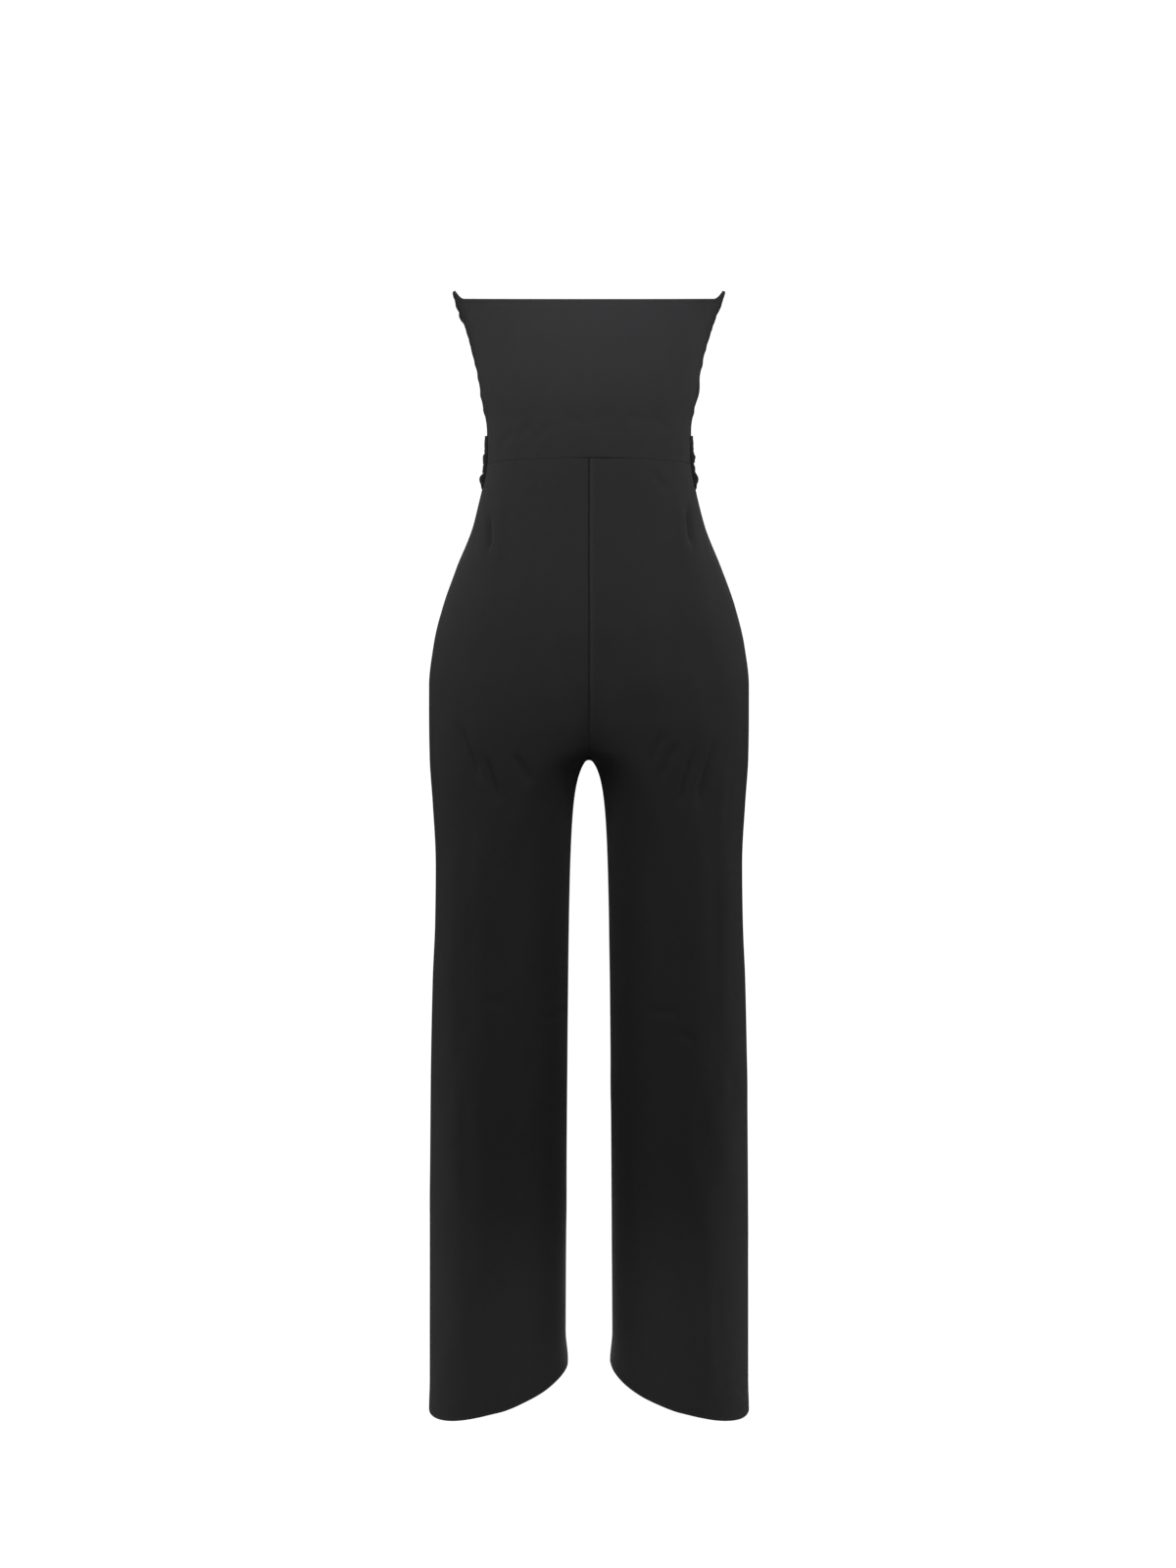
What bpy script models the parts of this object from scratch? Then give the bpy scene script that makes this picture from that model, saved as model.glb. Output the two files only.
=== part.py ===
"""A strapless, straight wide-leg jumpsuit in heavy stretch knit, open and hollow as it is when worn.

Seven cloth panels, each a thin closed wall: the back and the front bodice, a draped sash across the
front waist, and a back and a front trouser panel for each leg. All of them lie on one garment form,
which is a stack of level sections from the strapless top edge down to the hems.

Frame: +Z up, the front faces -Y, and +X is the wearer's left. The origin is the middle of the waist,
where the wearer holds the garment up. Sizes in this file are millimetres, and angles are degrees.
"""

import bpy
import numpy as np

METRES = 0.001  # one millimetre in Blender's unit

# Cloth and seams
WALL = 1.5  # thickness of a panel
SEAM_GAP = 0.3  # clearance between two pieces that are sewn together

# Heights above the waist
SIDE_TOP = 159.0  # top edge at the side seams
BACK_TOP = 133.2  # top edge at the centre back
FRONT_TOP = 165.0  # top edge at the centre front
CORNER_RISE = 9.0  # how far the top edge sweeps up beside the side seams
CORNER_SWEEP = 17.0  # angle over which it does so
WAIST_SEAM = -40.0  # seam between the bodice and the trousers
CROTCH = -370.0
HEM = -1079.8  # mean height of a hem
HEM_TILT = 25.0  # how far a hem's outer edge hangs below its mean, and its inner edge rises
HEM_DROP = 12.0  # how far the back of a hem hangs below its mean
HEM_BLEND = 380.0  # length of leg over which level rows turn into the slanting hem
OUTER_KICK = 0.8  # flare of the outer seam at the hem
INNER_KICK = 2.8  # flare of the inseam at the hem
KICK_REACH = 34.0  # height above the hem at which the flares start

# The seat parts into two legs over this height above the crotch, more and more quickly
PARTING = 130.0
PARTING_POWER = 1.5
# The middle of a section moves from the middle plane to the middle of a leg between these heights
LEG_MIDDLE = 101.0
TURN_TOP = -180.0
TURN_FOOT = -530.0

# Half of the space between the legs, d below the crotch: ARCH_WIDTH d / (d + ARCH_DEPTH) + ARCH_SPREAD d
ARCH_WIDTH = 24.4
ARCH_DEPTH = 23.3
ARCH_SPREAD = 0.004

# The garment form. Each section is an oval with its half width and its reach to the back and the front.
# A power above 2 squares the oval's corners. The side seam runs this many degrees behind the side.
FORM_COLUMNS = ("height", "half_width", "back", "front", "back_power", "front_power", "seam")
FORM = (
    (170.0, 155.5, 91.0, 97.0, 2.2, 2.3, 3.0),
    (159.0, 153.4, 92.0, 101.0, 2.2, 2.3, 3.0),
    (147.0, 150.6, 92.5, 106.0, 2.2, 2.35, 3.0),
    (132.0, 144.6, 93.0, 113.0, 2.2, 2.45, 3.5),
    (100.0, 134.4, 91.0, 121.0, 2.2, 2.5, 5.0),
    (67.0, 126.7, 86.0, 117.0, 2.2, 2.45, 6.0),
    (33.0, 121.2, 80.0, 103.0, 2.2, 2.3, 8.0),
    (0.0, 115.9, 76.0, 89.0, 2.2, 2.2, 9.0),
    (-30.0, 115.6, 78.0, 88.5, 2.2, 2.2, 9.0),
    (-50.0, 117.6, 81.5, 90.5, 2.2, 2.2, 9.0),
    (-67.0, 120.9, 86.0, 93.0, 2.2, 2.2, 8.5),
    (-89.0, 126.1, 92.0, 96.0, 2.2, 2.2, 7.5),
    (-111.0, 132.2, 98.5, 98.5, 2.2, 2.2, 6.5),
    (-156.0, 150.0, 111.5, 102.0, 2.2, 2.2, 5.0),
    (-200.0, 165.6, 122.0, 104.0, 2.2, 2.2, 4.0),
    (-244.0, 176.1, 128.0, 103.5, 2.2, 2.2, 4.0),
    (-289.0, 181.1, 129.5, 101.5, 2.2, 2.2, 4.0),
    (-333.0, 181.0, 126.0, 98.5, 2.2, 2.2, 4.0),
    (-370.0, 180.4, 119.0, 96.0, 2.2, 2.2, 4.0),
    (-422.0, 176.9, 108.5, 92.5, 2.2, 2.2, 4.0),
    (-489.0, 173.4, 100.5, 89.5, 2.2, 2.2, 4.0),
    (-556.0, 174.2, 95.5, 88.0, 2.2, 2.2, 4.0),
    (-622.0, 177.0, 92.5, 87.0, 2.2, 2.2, 4.0),
    (-756.0, 179.4, 91.0, 86.0, 2.2, 2.2, 4.0),
    (-900.0, 180.2, 91.5, 86.0, 2.2, 2.2, 4.0),
    (-1067.0, 180.3, 92.5, 87.0, 2.2, 2.2, 4.0),
    (-1120.0, 180.3, 93.0, 87.5, 2.2, 2.2, 4.0),
)

# Gathers of the front bodice: ridges that start at a side seam (+1 left, -1 right), fall away within a
# half height above and below, and die out over their reach across the cloth as their height drifts.
GATHER_COLUMNS = ("side", "height", "half_height", "rise", "reach", "drift")
GATHERS = (
    (1, 154.0, 8.0, 2.2, 46.0, -6.0),
    (1, 142.0, 8.0, 2.6, 62.0, -9.0),
    (1, 131.0, 7.5, 3.6, 74.0, -8.0),
    (1, 112.0, 12.0, 1.1, 58.0, -2.0),
    (1, 90.0, 14.0, 0.8, 66.0, 8.0),
    (-1, 155.0, 9.0, 1.6, 52.0, -8.0),
    (-1, 141.0, 10.0, 1.5, 66.0, -9.0),
    (-1, 126.0, 11.0, 1.0, 60.0, -5.0),
    (-1, 106.0, 13.0, 0.9, 70.0, 1.0),
    (-1, 44.0, 19.0, 2.4, 58.0, 6.0),
)

# The sash across the front waist: its edges at the side seams and at the centre front
SASH_TOP_SIDE = -7.0
SASH_TOP_FRONT = 8.0
SASH_FOOT_SIDE = -63.0
SASH_FOOT_FRONT = -74.0
SASH_EASE = 0.8  # clearance between the sash and the cloth below it, which both have flat facets
# Pleats of the sash: the place of a crest at the left seam, the centre front and the right seam, from the
# top edge (0) to the foot (1), its half width as a share of the sash, and its rise at the seams and in front
PLEAT_COLUMNS = ("left", "middle", "right", "half_share", "rise_side", "rise_front")
PLEATS = (
    (0.16, 0.10, 0.17, 0.12, 0.5, 2.0),
    (0.47, 0.33, 0.44, 0.17, 2.4, 3.4),
    (0.62, 0.58, 0.64, 0.14, 1.6, 2.8),
    (0.86, 0.84, 0.85, 0.13, 3.6, 3.2),
)

# Soft folds of a trouser panel: a fold's angle about the leg at its upper and its lower end, the heights
# of those ends, its half width in degrees, and its rise, which is negative in a trough
FOLD_COLUMNS = ("angle_top", "angle_foot", "top", "foot", "half_angle", "rise")
BACK_FOLDS = (
    (36.0, 33.0, -88.0, -154.0, 12.0, -1.6),
    (112.0, 92.0, -385.0, -640.0, 15.0, -2.2),
    (58.0, 66.0, -400.0, -700.0, 14.0, -2.0),
    (84.0, 78.0, -430.0, -1000.0, 13.0, 2.2),
    (128.0, 116.0, -560.0, -1100.0, 16.0, -1.8),
    (38.0, 42.0, -620.0, -1110.0, 14.0, -1.6),
)
FRONT_FOLDS = (
    (-118.0, -100.0, -380.0, -660.0, 15.0, -2.0),
    (-60.0, -68.0, -360.0, -720.0, 14.0, -1.8),
    (-88.0, -84.0, -430.0, -1010.0, 13.0, 2.0),
    (-126.0, -116.0, -600.0, -1090.0, 16.0, -1.7),
    (-40.0, -44.0, -640.0, -1100.0, 14.0, -1.5),
)

# Rows and columns of the panels' grids
LEG_COLUMNS = 10
LEG_ROWS_UPPER = 9  # level rows, from the waist seam down to CROTCH_ROWS_TOP
CROTCH_ROWS_ABOVE = 9  # rows that end on the centre seam, evenly along it
CROTCH_ROWS_BELOW = 6  # rows that end on the inseam
LEG_ROWS_LOWER = 13  # rows from CROTCH_ROWS_FOOT down to the hem
CROTCH_ROWS_TOP = -250.0
CROTCH_ROWS_FOOT = -480.0
BACK_BODICE_COLUMNS = 22
BACK_BODICE_ROWS = 9
FRONT_BODICE_COLUMNS = 28
FRONT_LOWER_ROWS = 10
FRONT_GATHER_ROWS = 15
GATHER_ZONE = 0.6  # share of the front bodice's height that lies below the closely spaced rows
SASH_COLUMNS = 28
SASH_ROWS = 14

MEASURED_POINTS = 361  # points along a curve when its length is measured
STEP = 0.05  # small step for slopes, in degrees round the form and in millimetres up it

BLACK_KNIT = (0.018, 0.018, 0.020, 1.0)
KNIT_ROUGHNESS = 0.85


def named_columns(names, rows):
    """The table as a dictionary of arrays, one for each named column."""
    return dict(zip(names, np.array(rows, float).T))


FORM_TABLE = {name: values[::-1] for name, values in named_columns(FORM_COLUMNS, FORM).items()}


def smooth_through(heights, values, z):
    """A monotone cubic through a table's rows, so the form never swells between two of them."""
    gaps = np.diff(heights)
    slopes = np.diff(values) / gaps
    tangents = np.concatenate([slopes[:1], np.zeros(len(slopes) - 1), slopes[-1:]])
    before, after = slopes[:-1], slopes[1:]
    same_way = before * after > 0
    weight_before, weight_after = gaps[:-1] + 2 * gaps[1:], 2 * gaps[:-1] + gaps[1:]
    inverse = weight_before[same_way] / before[same_way] + weight_after[same_way] / after[same_way]
    tangents[1:-1][same_way] = (weight_before + weight_after)[same_way] / inverse
    row = np.clip(np.searchsorted(heights, z) - 1, 0, len(gaps) - 1)
    t = (z - heights[row]) / gaps[row]
    from_low = (1 + 2 * t) * (1 - t) ** 2 * values[row] + t**2 * (3 - 2 * t) * values[row + 1]
    bends = t * (1 - t) ** 2 * tangents[row] - t**2 * (1 - t) * tangents[row + 1]
    return from_low + gaps[row] * bends


def form_column(name, z):
    return smooth_through(FORM_TABLE["height"], FORM_TABLE[name], z)


def smooth_step(t):
    t = np.clip(t, 0.0, 1.0)
    return t * t * (3 - 2 * t)


def bump(distance, half_width):
    """A smooth ridge: 1 on its crest, 0 at half_width and beyond."""
    return 1 - smooth_step(np.abs(distance) / half_width)


def hem_height(angle):
    """The hem lies in a slanting plane: low at the side seam, high at the inseam."""
    return HEM - HEM_TILT * np.cos(np.radians(angle)) - HEM_DROP * np.sin(np.radians(angle))


def leg_edges(angle, z):
    """Outermost x of a leg's section, its innermost x, and the x where its two rounded sides meet.

    Above the crotch the innermost x lies beyond the middle plane, which cuts the section off there. It
    comes back from the far side of the body as the seat parts.
    """
    outer = form_column("half_width", z)
    parted = np.clip((CROTCH + PARTING - z) / PARTING, 0, 1) ** PARTING_POWER
    below = np.maximum(CROTCH - z, 0)
    arch = SEAM_GAP / 2 + ARCH_WIDTH * below / (below + ARCH_DEPTH) + ARCH_SPREAD * below
    inner = arch - outer * (1 - parted) / (1 + parted)
    middle = LEG_MIDDLE * smooth_step((TURN_TOP - z) / (TURN_TOP - TURN_FOOT))
    cos = np.cos(np.radians(angle))
    kick = smooth_step((hem_height(angle) + KICK_REACH - z) / KICK_REACH)
    outer = outer + OUTER_KICK * kick * np.maximum(cos, 0)
    inner = inner - INNER_KICK * kick * np.maximum(-cos, 0)
    return outer, inner, middle


def section(angle, z, outer, inner, middle):
    """Level section with squarish round sides: angle 0 at the side, 90 at the back, 180 at the inside."""
    cos, sin = np.cos(np.radians(angle)), np.sin(np.radians(angle))
    at_back = sin >= 0
    depth = np.where(at_back, form_column("back", z), form_column("front", z))
    power = 2 / np.where(at_back, form_column("back_power", z), form_column("front_power", z))
    reach = np.where(cos >= 0, outer - middle, middle - inner)
    x = middle + reach * np.sign(cos) * np.abs(cos) ** power
    y = depth * np.sign(sin) * np.abs(sin) ** power
    return np.stack([x, y, z], axis=-1)


def trouser_form(angle, z):
    return section(angle, z, *leg_edges(angle, z))


def bodice_form(angle, z):
    half_width = form_column("half_width", z)
    return section(angle, z, half_width, -half_width, np.zeros_like(z))


def outward(form, angle, z):
    """Unit normals of a form, from small steps round it and up it."""
    around = form(angle + STEP, z) - form(angle - STEP, z)
    upward = form(angle, z + STEP) - form(angle, z - STEP)
    normal = np.cross(around, upward)
    return normal / np.linalg.norm(normal, axis=-1, keepdims=True)


def even_angles(form, z, first, last, columns):
    """Angles from first to last that lie evenly along the cloth at height z."""
    fine = np.linspace(first, last, MEASURED_POINTS)
    points = form(fine, np.full_like(fine, z))
    run = np.concatenate([[0], np.cumsum(np.linalg.norm(np.diff(points, axis=0), axis=1))])
    return np.interp(np.linspace(0, run[-1], columns + 1), run, fine)


def seam_angle(z, side_of_seam):
    """Angle of the side seam, moved by half a seam gap to the back (+1) or to the front (-1)."""
    angle = form_column("seam", z)
    degrees_per_mm = STEP / np.linalg.norm(trouser_form(angle + STEP, z) - trouser_form(angle, z), axis=-1)
    return angle + side_of_seam * SEAM_GAP / 2 * degrees_per_mm


def panel_angles(z, turn):
    """Angles of a trouser panel's row, from its side seam to its centre seam or inseam.

    The outer columns end halfway across the leg, so that only the inner ones crowd under the crotch.
    turn is +1 for a back panel and -1 for a front one.
    """
    power = form_column("back_power" if turn > 0 else "front_power", z) / 2
    outer, inner, middle = leg_edges(turn * 90.0, z)
    innermost = max(inner, SEAM_GAP / 2)
    cut_off = np.clip((middle - innermost) / (middle - inner), 0, 1)
    inseam_side = (SEAM_GAP / 2 / form_column("back" if turn > 0 else "front", z)) ** power
    last = turn * min(np.degrees(np.arccos(-cut_off ** power)), 180 - np.degrees(np.arcsin(inseam_side)))
    halfway_share = np.clip(((outer + innermost) / 2 - middle) / (outer - middle), 0, 1)
    halfway = turn * np.degrees(np.arccos(halfway_share ** power))
    outside = even_angles(trouser_form, z, seam_angle(z, turn), halfway, LEG_COLUMNS // 2)
    inside = even_angles(trouser_form, z, halfway, last, LEG_COLUMNS // 2)
    return np.concatenate([outside, inside[1:]])


def seam_heights(turn):
    """Heights that lie evenly along the centre seam, which runs under the body to the crotch."""
    fine = CROTCH + (CROTCH_ROWS_TOP - CROTCH) * np.linspace(1, 0, MEASURED_POINTS) ** 3
    ends = [trouser_form(panel_angles(z, turn)[-1], z) for z in fine]
    run = np.concatenate([[0], np.cumsum(np.linalg.norm(np.diff(ends, axis=0), axis=1))])
    return np.interp(np.linspace(0, run[-1], CROTCH_ROWS_ABOVE + 1), run, fine)


def leg_heights(turn):
    """Height of every point of a trouser panel's grid, before the hem's slant.

    Rows are level but for those near the crotch, whose inner ends gather there.
    """
    top = WAIST_SEAM - SEAM_GAP / 2
    upper = np.linspace(top, CROTCH_ROWS_TOP, LEG_ROWS_UPPER, endpoint=False)
    lower = np.linspace(CROTCH_ROWS_FOOT, HEM, LEG_ROWS_LOWER + 1)[1:]
    crotch_rows = CROTCH_ROWS_ABOVE + CROTCH_ROWS_BELOW
    outside = np.linspace(CROTCH_ROWS_TOP, CROTCH_ROWS_FOOT, crotch_rows + 1)
    inseam = np.linspace(CROTCH, CROTCH_ROWS_FOOT, CROTCH_ROWS_BELOW + 1)[1:]
    inside = np.concatenate([seam_heights(turn), inseam])
    inward = smooth_step(np.linspace(0, 1, LEG_COLUMNS + 1))
    crotch = outside[:, None] + (inside - outside)[:, None] * inward
    level = np.concatenate([upper, lower])[:, None] + np.zeros(LEG_COLUMNS + 1)
    return np.concatenate([level[:LEG_ROWS_UPPER], crotch, level[LEG_ROWS_UPPER:]])


def folds(table, angle, z):
    """Height of the soft folds above the form at these points of a trouser panel."""
    rise = np.zeros_like(z)
    for fold in (dict(zip(FOLD_COLUMNS, row)) for row in table):
        down = (fold["top"] - z) / (fold["top"] - fold["foot"])
        line = fold["angle_top"] + (fold["angle_foot"] - fold["angle_top"]) * down
        fade = smooth_step(3 * down) * smooth_step(3 * (1 - down))
        rise += fold["rise"] * fade * bump(angle - line, fold["half_angle"])
    return rise


def leg_panel(at_back):
    """Outer and inner points of the left leg's back or front panel, as grids of rows and columns."""
    turn = 1 if at_back else -1
    z = leg_heights(turn)
    angle = np.array([[panel_angles(height, turn)[k] for k, height in enumerate(row)] for row in z])
    z, angle = z[:, ::turn], angle[:, ::turn]
    z = z + smooth_step((HEM + HEM_BLEND - z) / HEM_BLEND) * (hem_height(angle) - HEM)
    normal = outward(trouser_form, angle, z)
    rise = folds(BACK_FOLDS if at_back else FRONT_FOLDS, angle, z)
    outer = trouser_form(angle, z) + rise[..., None] * normal
    return outer, outer - WALL * normal


def top_edge(angle):
    """Height of the strapless top edge.

    From the side seams it drops steadily to the middle of the back and climbs to the middle of the
    front, but for a short upward sweep at each seam.
    """
    sin = np.sin(np.radians(angle))
    from_side = np.degrees(np.arcsin(np.abs(sin)))
    inward = np.abs(sin) ** (2 / form_column("back_power", SIDE_TOP))
    seam = form_column("seam", SIDE_TOP)
    sweep = CORNER_RISE * smooth_step(1 - (from_side - seam) / CORNER_SWEEP)
    level = SIDE_TOP - CORNER_RISE
    return level + sweep + (np.where(sin >= 0, BACK_TOP, FRONT_TOP) - level) * inward


def gathers(angle, point, z):
    """Height of the bodice's gathers above its form, from each one's distance along the cloth."""
    rise = np.zeros_like(z)
    for gather in (dict(zip(GATHER_COLUMNS, row)) for row in GATHERS):
        facing = -90 + gather["side"] * 90
        from_side = np.abs(angle - facing)
        half_width = form_column("half_width", z)
        run = np.hypot(point[..., 0] - gather["side"] * half_width, point[..., 1])
        here = np.where(from_side < 90, np.clip(run / gather["reach"], 0, 1), 1)
        crest = gather["height"] + gather["drift"] * here
        rise += gather["rise"] * (1 - smooth_step(here)) * bump(z - crest, gather["half_height"])
    return rise


def bodice_rows(shares, at_back, columns):
    """Angles and heights of a bodice panel's rows, from the waist seam (0) to the top edge (1)."""
    foot = WAIST_SEAM + SEAM_GAP / 2
    angles, heights = [], []
    for share in shares:
        level = foot + share * (SIDE_TOP - foot)
        seam = seam_angle(level, 1 if at_back else -1)
        first, last = (seam, 180 - seam) if at_back else (-180 - seam, seam)
        row = even_angles(bodice_form, level, first, last, columns)
        angles.append(row)
        heights.append(foot + share * (top_edge(row) - foot))
    return np.array(angles), np.array(heights)


def back_bodice():
    angle, z = bodice_rows(np.linspace(0, 1, BACK_BODICE_ROWS + 1), True, BACK_BODICE_COLUMNS)
    outer = bodice_form(angle, z)
    return outer, outer - WALL * outward(bodice_form, angle, z)


def front_bodice_outer(angle, z):
    """The front bodice's outer face: the form, with its gathers standing on it."""
    point = bodice_form(angle, z)
    return point + gathers(angle, point, z)[..., None] * outward(bodice_form, angle, z)


def front_bodice():
    lower = np.linspace(0, GATHER_ZONE, FRONT_LOWER_ROWS, endpoint=False)
    upper = np.linspace(GATHER_ZONE, 1, FRONT_GATHER_ROWS + 1)
    angle, z = bodice_rows(np.concatenate([lower, upper]), False, FRONT_BODICE_COLUMNS)
    outer = front_bodice_outer(angle, z)
    return outer, outer - WALL * outward(bodice_form, angle, z)


def sash():
    """The draped sash: laid on the front's own points, moved out, with its pleats as soft ridges."""
    level = (SASH_TOP_SIDE + SASH_FOOT_SIDE) / 2
    seam = seam_angle(level, -1)
    angle = even_angles(bodice_form, level, -180 - seam, seam, SASH_COLUMNS)
    along = np.linspace(-1, 1, SASH_COLUMNS + 1)  # -1 at the right seam, 1 at the left seam
    frontness = np.cos(np.radians(90 * along))
    top = SASH_TOP_SIDE + (SASH_TOP_FRONT - SASH_TOP_SIDE) * frontness
    foot = SASH_FOOT_SIDE + (SASH_FOOT_FRONT - SASH_FOOT_SIDE) * frontness
    down = np.linspace(1, 0, SASH_ROWS + 1)[:, None]  # rows climb from the foot to the top edge
    z = top + down * (foot - top)
    angle, along = (np.broadcast_to(values, z.shape) for values in (angle, along))
    rise = np.zeros_like(z)
    for pleat in (dict(zip(PLEAT_COLUMNS, row)) for row in PLEATS):
        seam_line = np.where(along > 0, pleat["left"], pleat["right"])
        front_share = np.cos(np.radians(90 * along))
        line = seam_line + (pleat["middle"] - seam_line) * front_share
        height = pleat["rise_side"] + (pleat["rise_front"] - pleat["rise_side"]) * front_share
        rise = np.maximum(rise, height * bump(down - line, pleat["half_share"]))
    normal = outward(bodice_form, angle, z)
    below = bodice_form(angle, z)
    inner = below + (SASH_EASE + rise)[..., None] * normal
    return inner + WALL * normal, inner


def turned_over(faces):
    """The same faces seen from behind, still split into triangles along the same diagonals."""
    return faces[:, [0, 3, 2, 1]]


def wall_mesh(name, outer, inner, mirrored=False):
    """One closed mesh from a panel's outer and inner grids, with rims along its four edges."""
    rows, columns = outer.shape[:2]
    index = np.arange(rows * columns).reshape(rows, columns)
    inside = index + rows * columns

    def sheet(grid):
        return np.stack([grid[:-1, :-1], grid[:-1, 1:], grid[1:, 1:], grid[1:, :-1]], -1).reshape(-1, 4)

    def rim(edge, back_edge):
        return np.stack([edge[1:], edge[:-1], back_edge[:-1], back_edge[1:]], -1)

    border = np.concatenate([index[0, :-1], index[:-1, -1], index[-1, :0:-1], index[::-1, 0]])
    faces = np.concatenate([sheet(index), turned_over(sheet(inside)), rim(border, border + rows * columns)])
    points = np.concatenate([outer.reshape(-1, 3), inner.reshape(-1, 3)]) * METRES
    if mirrored:
        points[:, 0] *= -1
        faces = turned_over(faces)
    mesh = bpy.data.meshes.new(name)
    mesh.from_pydata(points.tolist(), [], faces.tolist())
    mesh.shade_smooth()
    mesh.set_sharp_from_angle(angle=np.radians(50))
    return mesh


def knit_material():
    material = bpy.data.materials.new("black_knit")
    material.use_nodes = True
    shader = material.node_tree.nodes["Principled BSDF"]
    shader.inputs["Base Color"].default_value = BLACK_KNIT
    shader.inputs["Roughness"].default_value = KNIT_ROUGHNESS
    shader.inputs["Metallic"].default_value = 0.0
    return material


def add_panel(name, outer, inner, material, mirrored=False):
    # Grids whose rows run downwards are turned over, so that every panel's rows climb.
    if outer[0, 0, 2] > outer[-1, 0, 2]:
        outer, inner = outer[::-1], inner[::-1]
    panel = bpy.data.objects.new(name, wall_mesh(name, outer, inner, mirrored))
    panel.data.materials.append(material)
    bpy.context.scene.collection.objects.link(panel)


def main():
    for thing in list(bpy.data.objects):
        bpy.data.objects.remove(thing)
    knit = knit_material()
    add_panel("back_bodice", *back_bodice(), knit)
    add_panel("front_bodice", *front_bodice(), knit)
    add_panel("front_sash", *sash(), knit)
    for panel, at_back in (("back_leg", True), ("front_leg", False)):
        outer, inner = leg_panel(at_back)
        add_panel("left_" + panel, outer, inner, knit)
        add_panel("right_" + panel, outer, inner, knit, mirrored=True)


main()
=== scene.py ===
# %% [markdown]
# # A strapless jumpsuit with wide legs, in heavy black knit
#
# The real garment is a tube of stretch cloth that the wearer's own body holds open, from the chest down to
# the hems. It is sewn from seven pieces: a back and a front bodice, a sash draped across the front waist,
# and a back and a front trouser panel for each leg. Here each sewn piece becomes one thin closed shell that
# lies on its solid's form, with rolled seams, turned edges and creases in real geometry. The knit's loops
# and its soft nap are too fine for that, so they are left to the material.
#
# The garment is hollow, as it is when worn, with nobody in it. +Z is up, the front faces -Y, +X is the
# wearer's left, and the origin is the middle of the waist. Sizes are millimetres until a mesh is made.

import bpy
import numpy as np
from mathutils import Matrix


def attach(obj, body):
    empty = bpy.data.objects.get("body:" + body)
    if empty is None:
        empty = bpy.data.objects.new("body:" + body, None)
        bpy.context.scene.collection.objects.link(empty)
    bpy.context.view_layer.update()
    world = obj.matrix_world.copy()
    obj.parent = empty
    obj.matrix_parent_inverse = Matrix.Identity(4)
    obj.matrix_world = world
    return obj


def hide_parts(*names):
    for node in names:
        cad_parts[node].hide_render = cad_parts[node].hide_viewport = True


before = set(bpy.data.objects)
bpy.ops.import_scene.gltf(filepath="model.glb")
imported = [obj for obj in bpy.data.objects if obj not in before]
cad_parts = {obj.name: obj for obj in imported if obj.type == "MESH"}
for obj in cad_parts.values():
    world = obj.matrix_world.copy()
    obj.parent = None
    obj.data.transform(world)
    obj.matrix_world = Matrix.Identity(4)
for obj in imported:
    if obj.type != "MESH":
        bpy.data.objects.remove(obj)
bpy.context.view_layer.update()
print("Solids:", ", ".join(sorted(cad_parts)))

# %% [markdown]
# ## The camera
#
# The garment is seen straight from behind, from about three metres, with the lens level and halfway down
# its length. A long lens could stand further off, but then the sides of the waist, which turn away, would
# show more of themselves. The field of view is given as the height that fits the picture at the garment's
# own distance, and the lens follows from it.

# %% Camera
METRES = 0.001  # one millimetre in Blender's unit
CAMERA_PLACE = (1.1, 3000.0, -400.0)
VIEW_HEIGHT = 1778.0  # what the picture takes in, at the origin's distance
SENSOR = 36.0  # height of the camera's sensor


def into_scene(name, data):
    """A new object that holds the data, linked to the scene."""
    thing = bpy.data.objects.new(name, data)
    bpy.context.scene.collection.objects.link(thing)
    return thing


def make_camera():
    """Lens = sensor height x distance / view height, looking level along -Y."""
    lens = bpy.data.cameras.new("Studio camera")
    lens.sensor_fit = "VERTICAL"
    lens.sensor_height = SENSOR
    lens.sensor_width = SENSOR
    lens.lens = SENSOR * CAMERA_PLACE[1] / VIEW_HEIGHT
    camera = into_scene("Studio camera", lens)
    camera.location = [value * METRES for value in CAMERA_PLACE]
    camera.rotation_euler = (np.pi / 2, 0.0, np.pi)
    bpy.context.scene.camera = camera
    print(f"Camera: {lens.lens:.2f} mm lens, {CAMERA_PLACE[1] * METRES} m behind the garment")


make_camera()

# %% [markdown]
# ## The garment form
#
# A dressmaker's form can be given as a stack of level sections. Each section here is an oval with its own
# half width and its own reach to the back and to the front, which is how a body is measured with a tape and
# two set squares. Sculpting would be quicker to start, but the seams and the hems have to stay exactly
# where the solids have them, so the same table of sections drives both.

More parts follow.
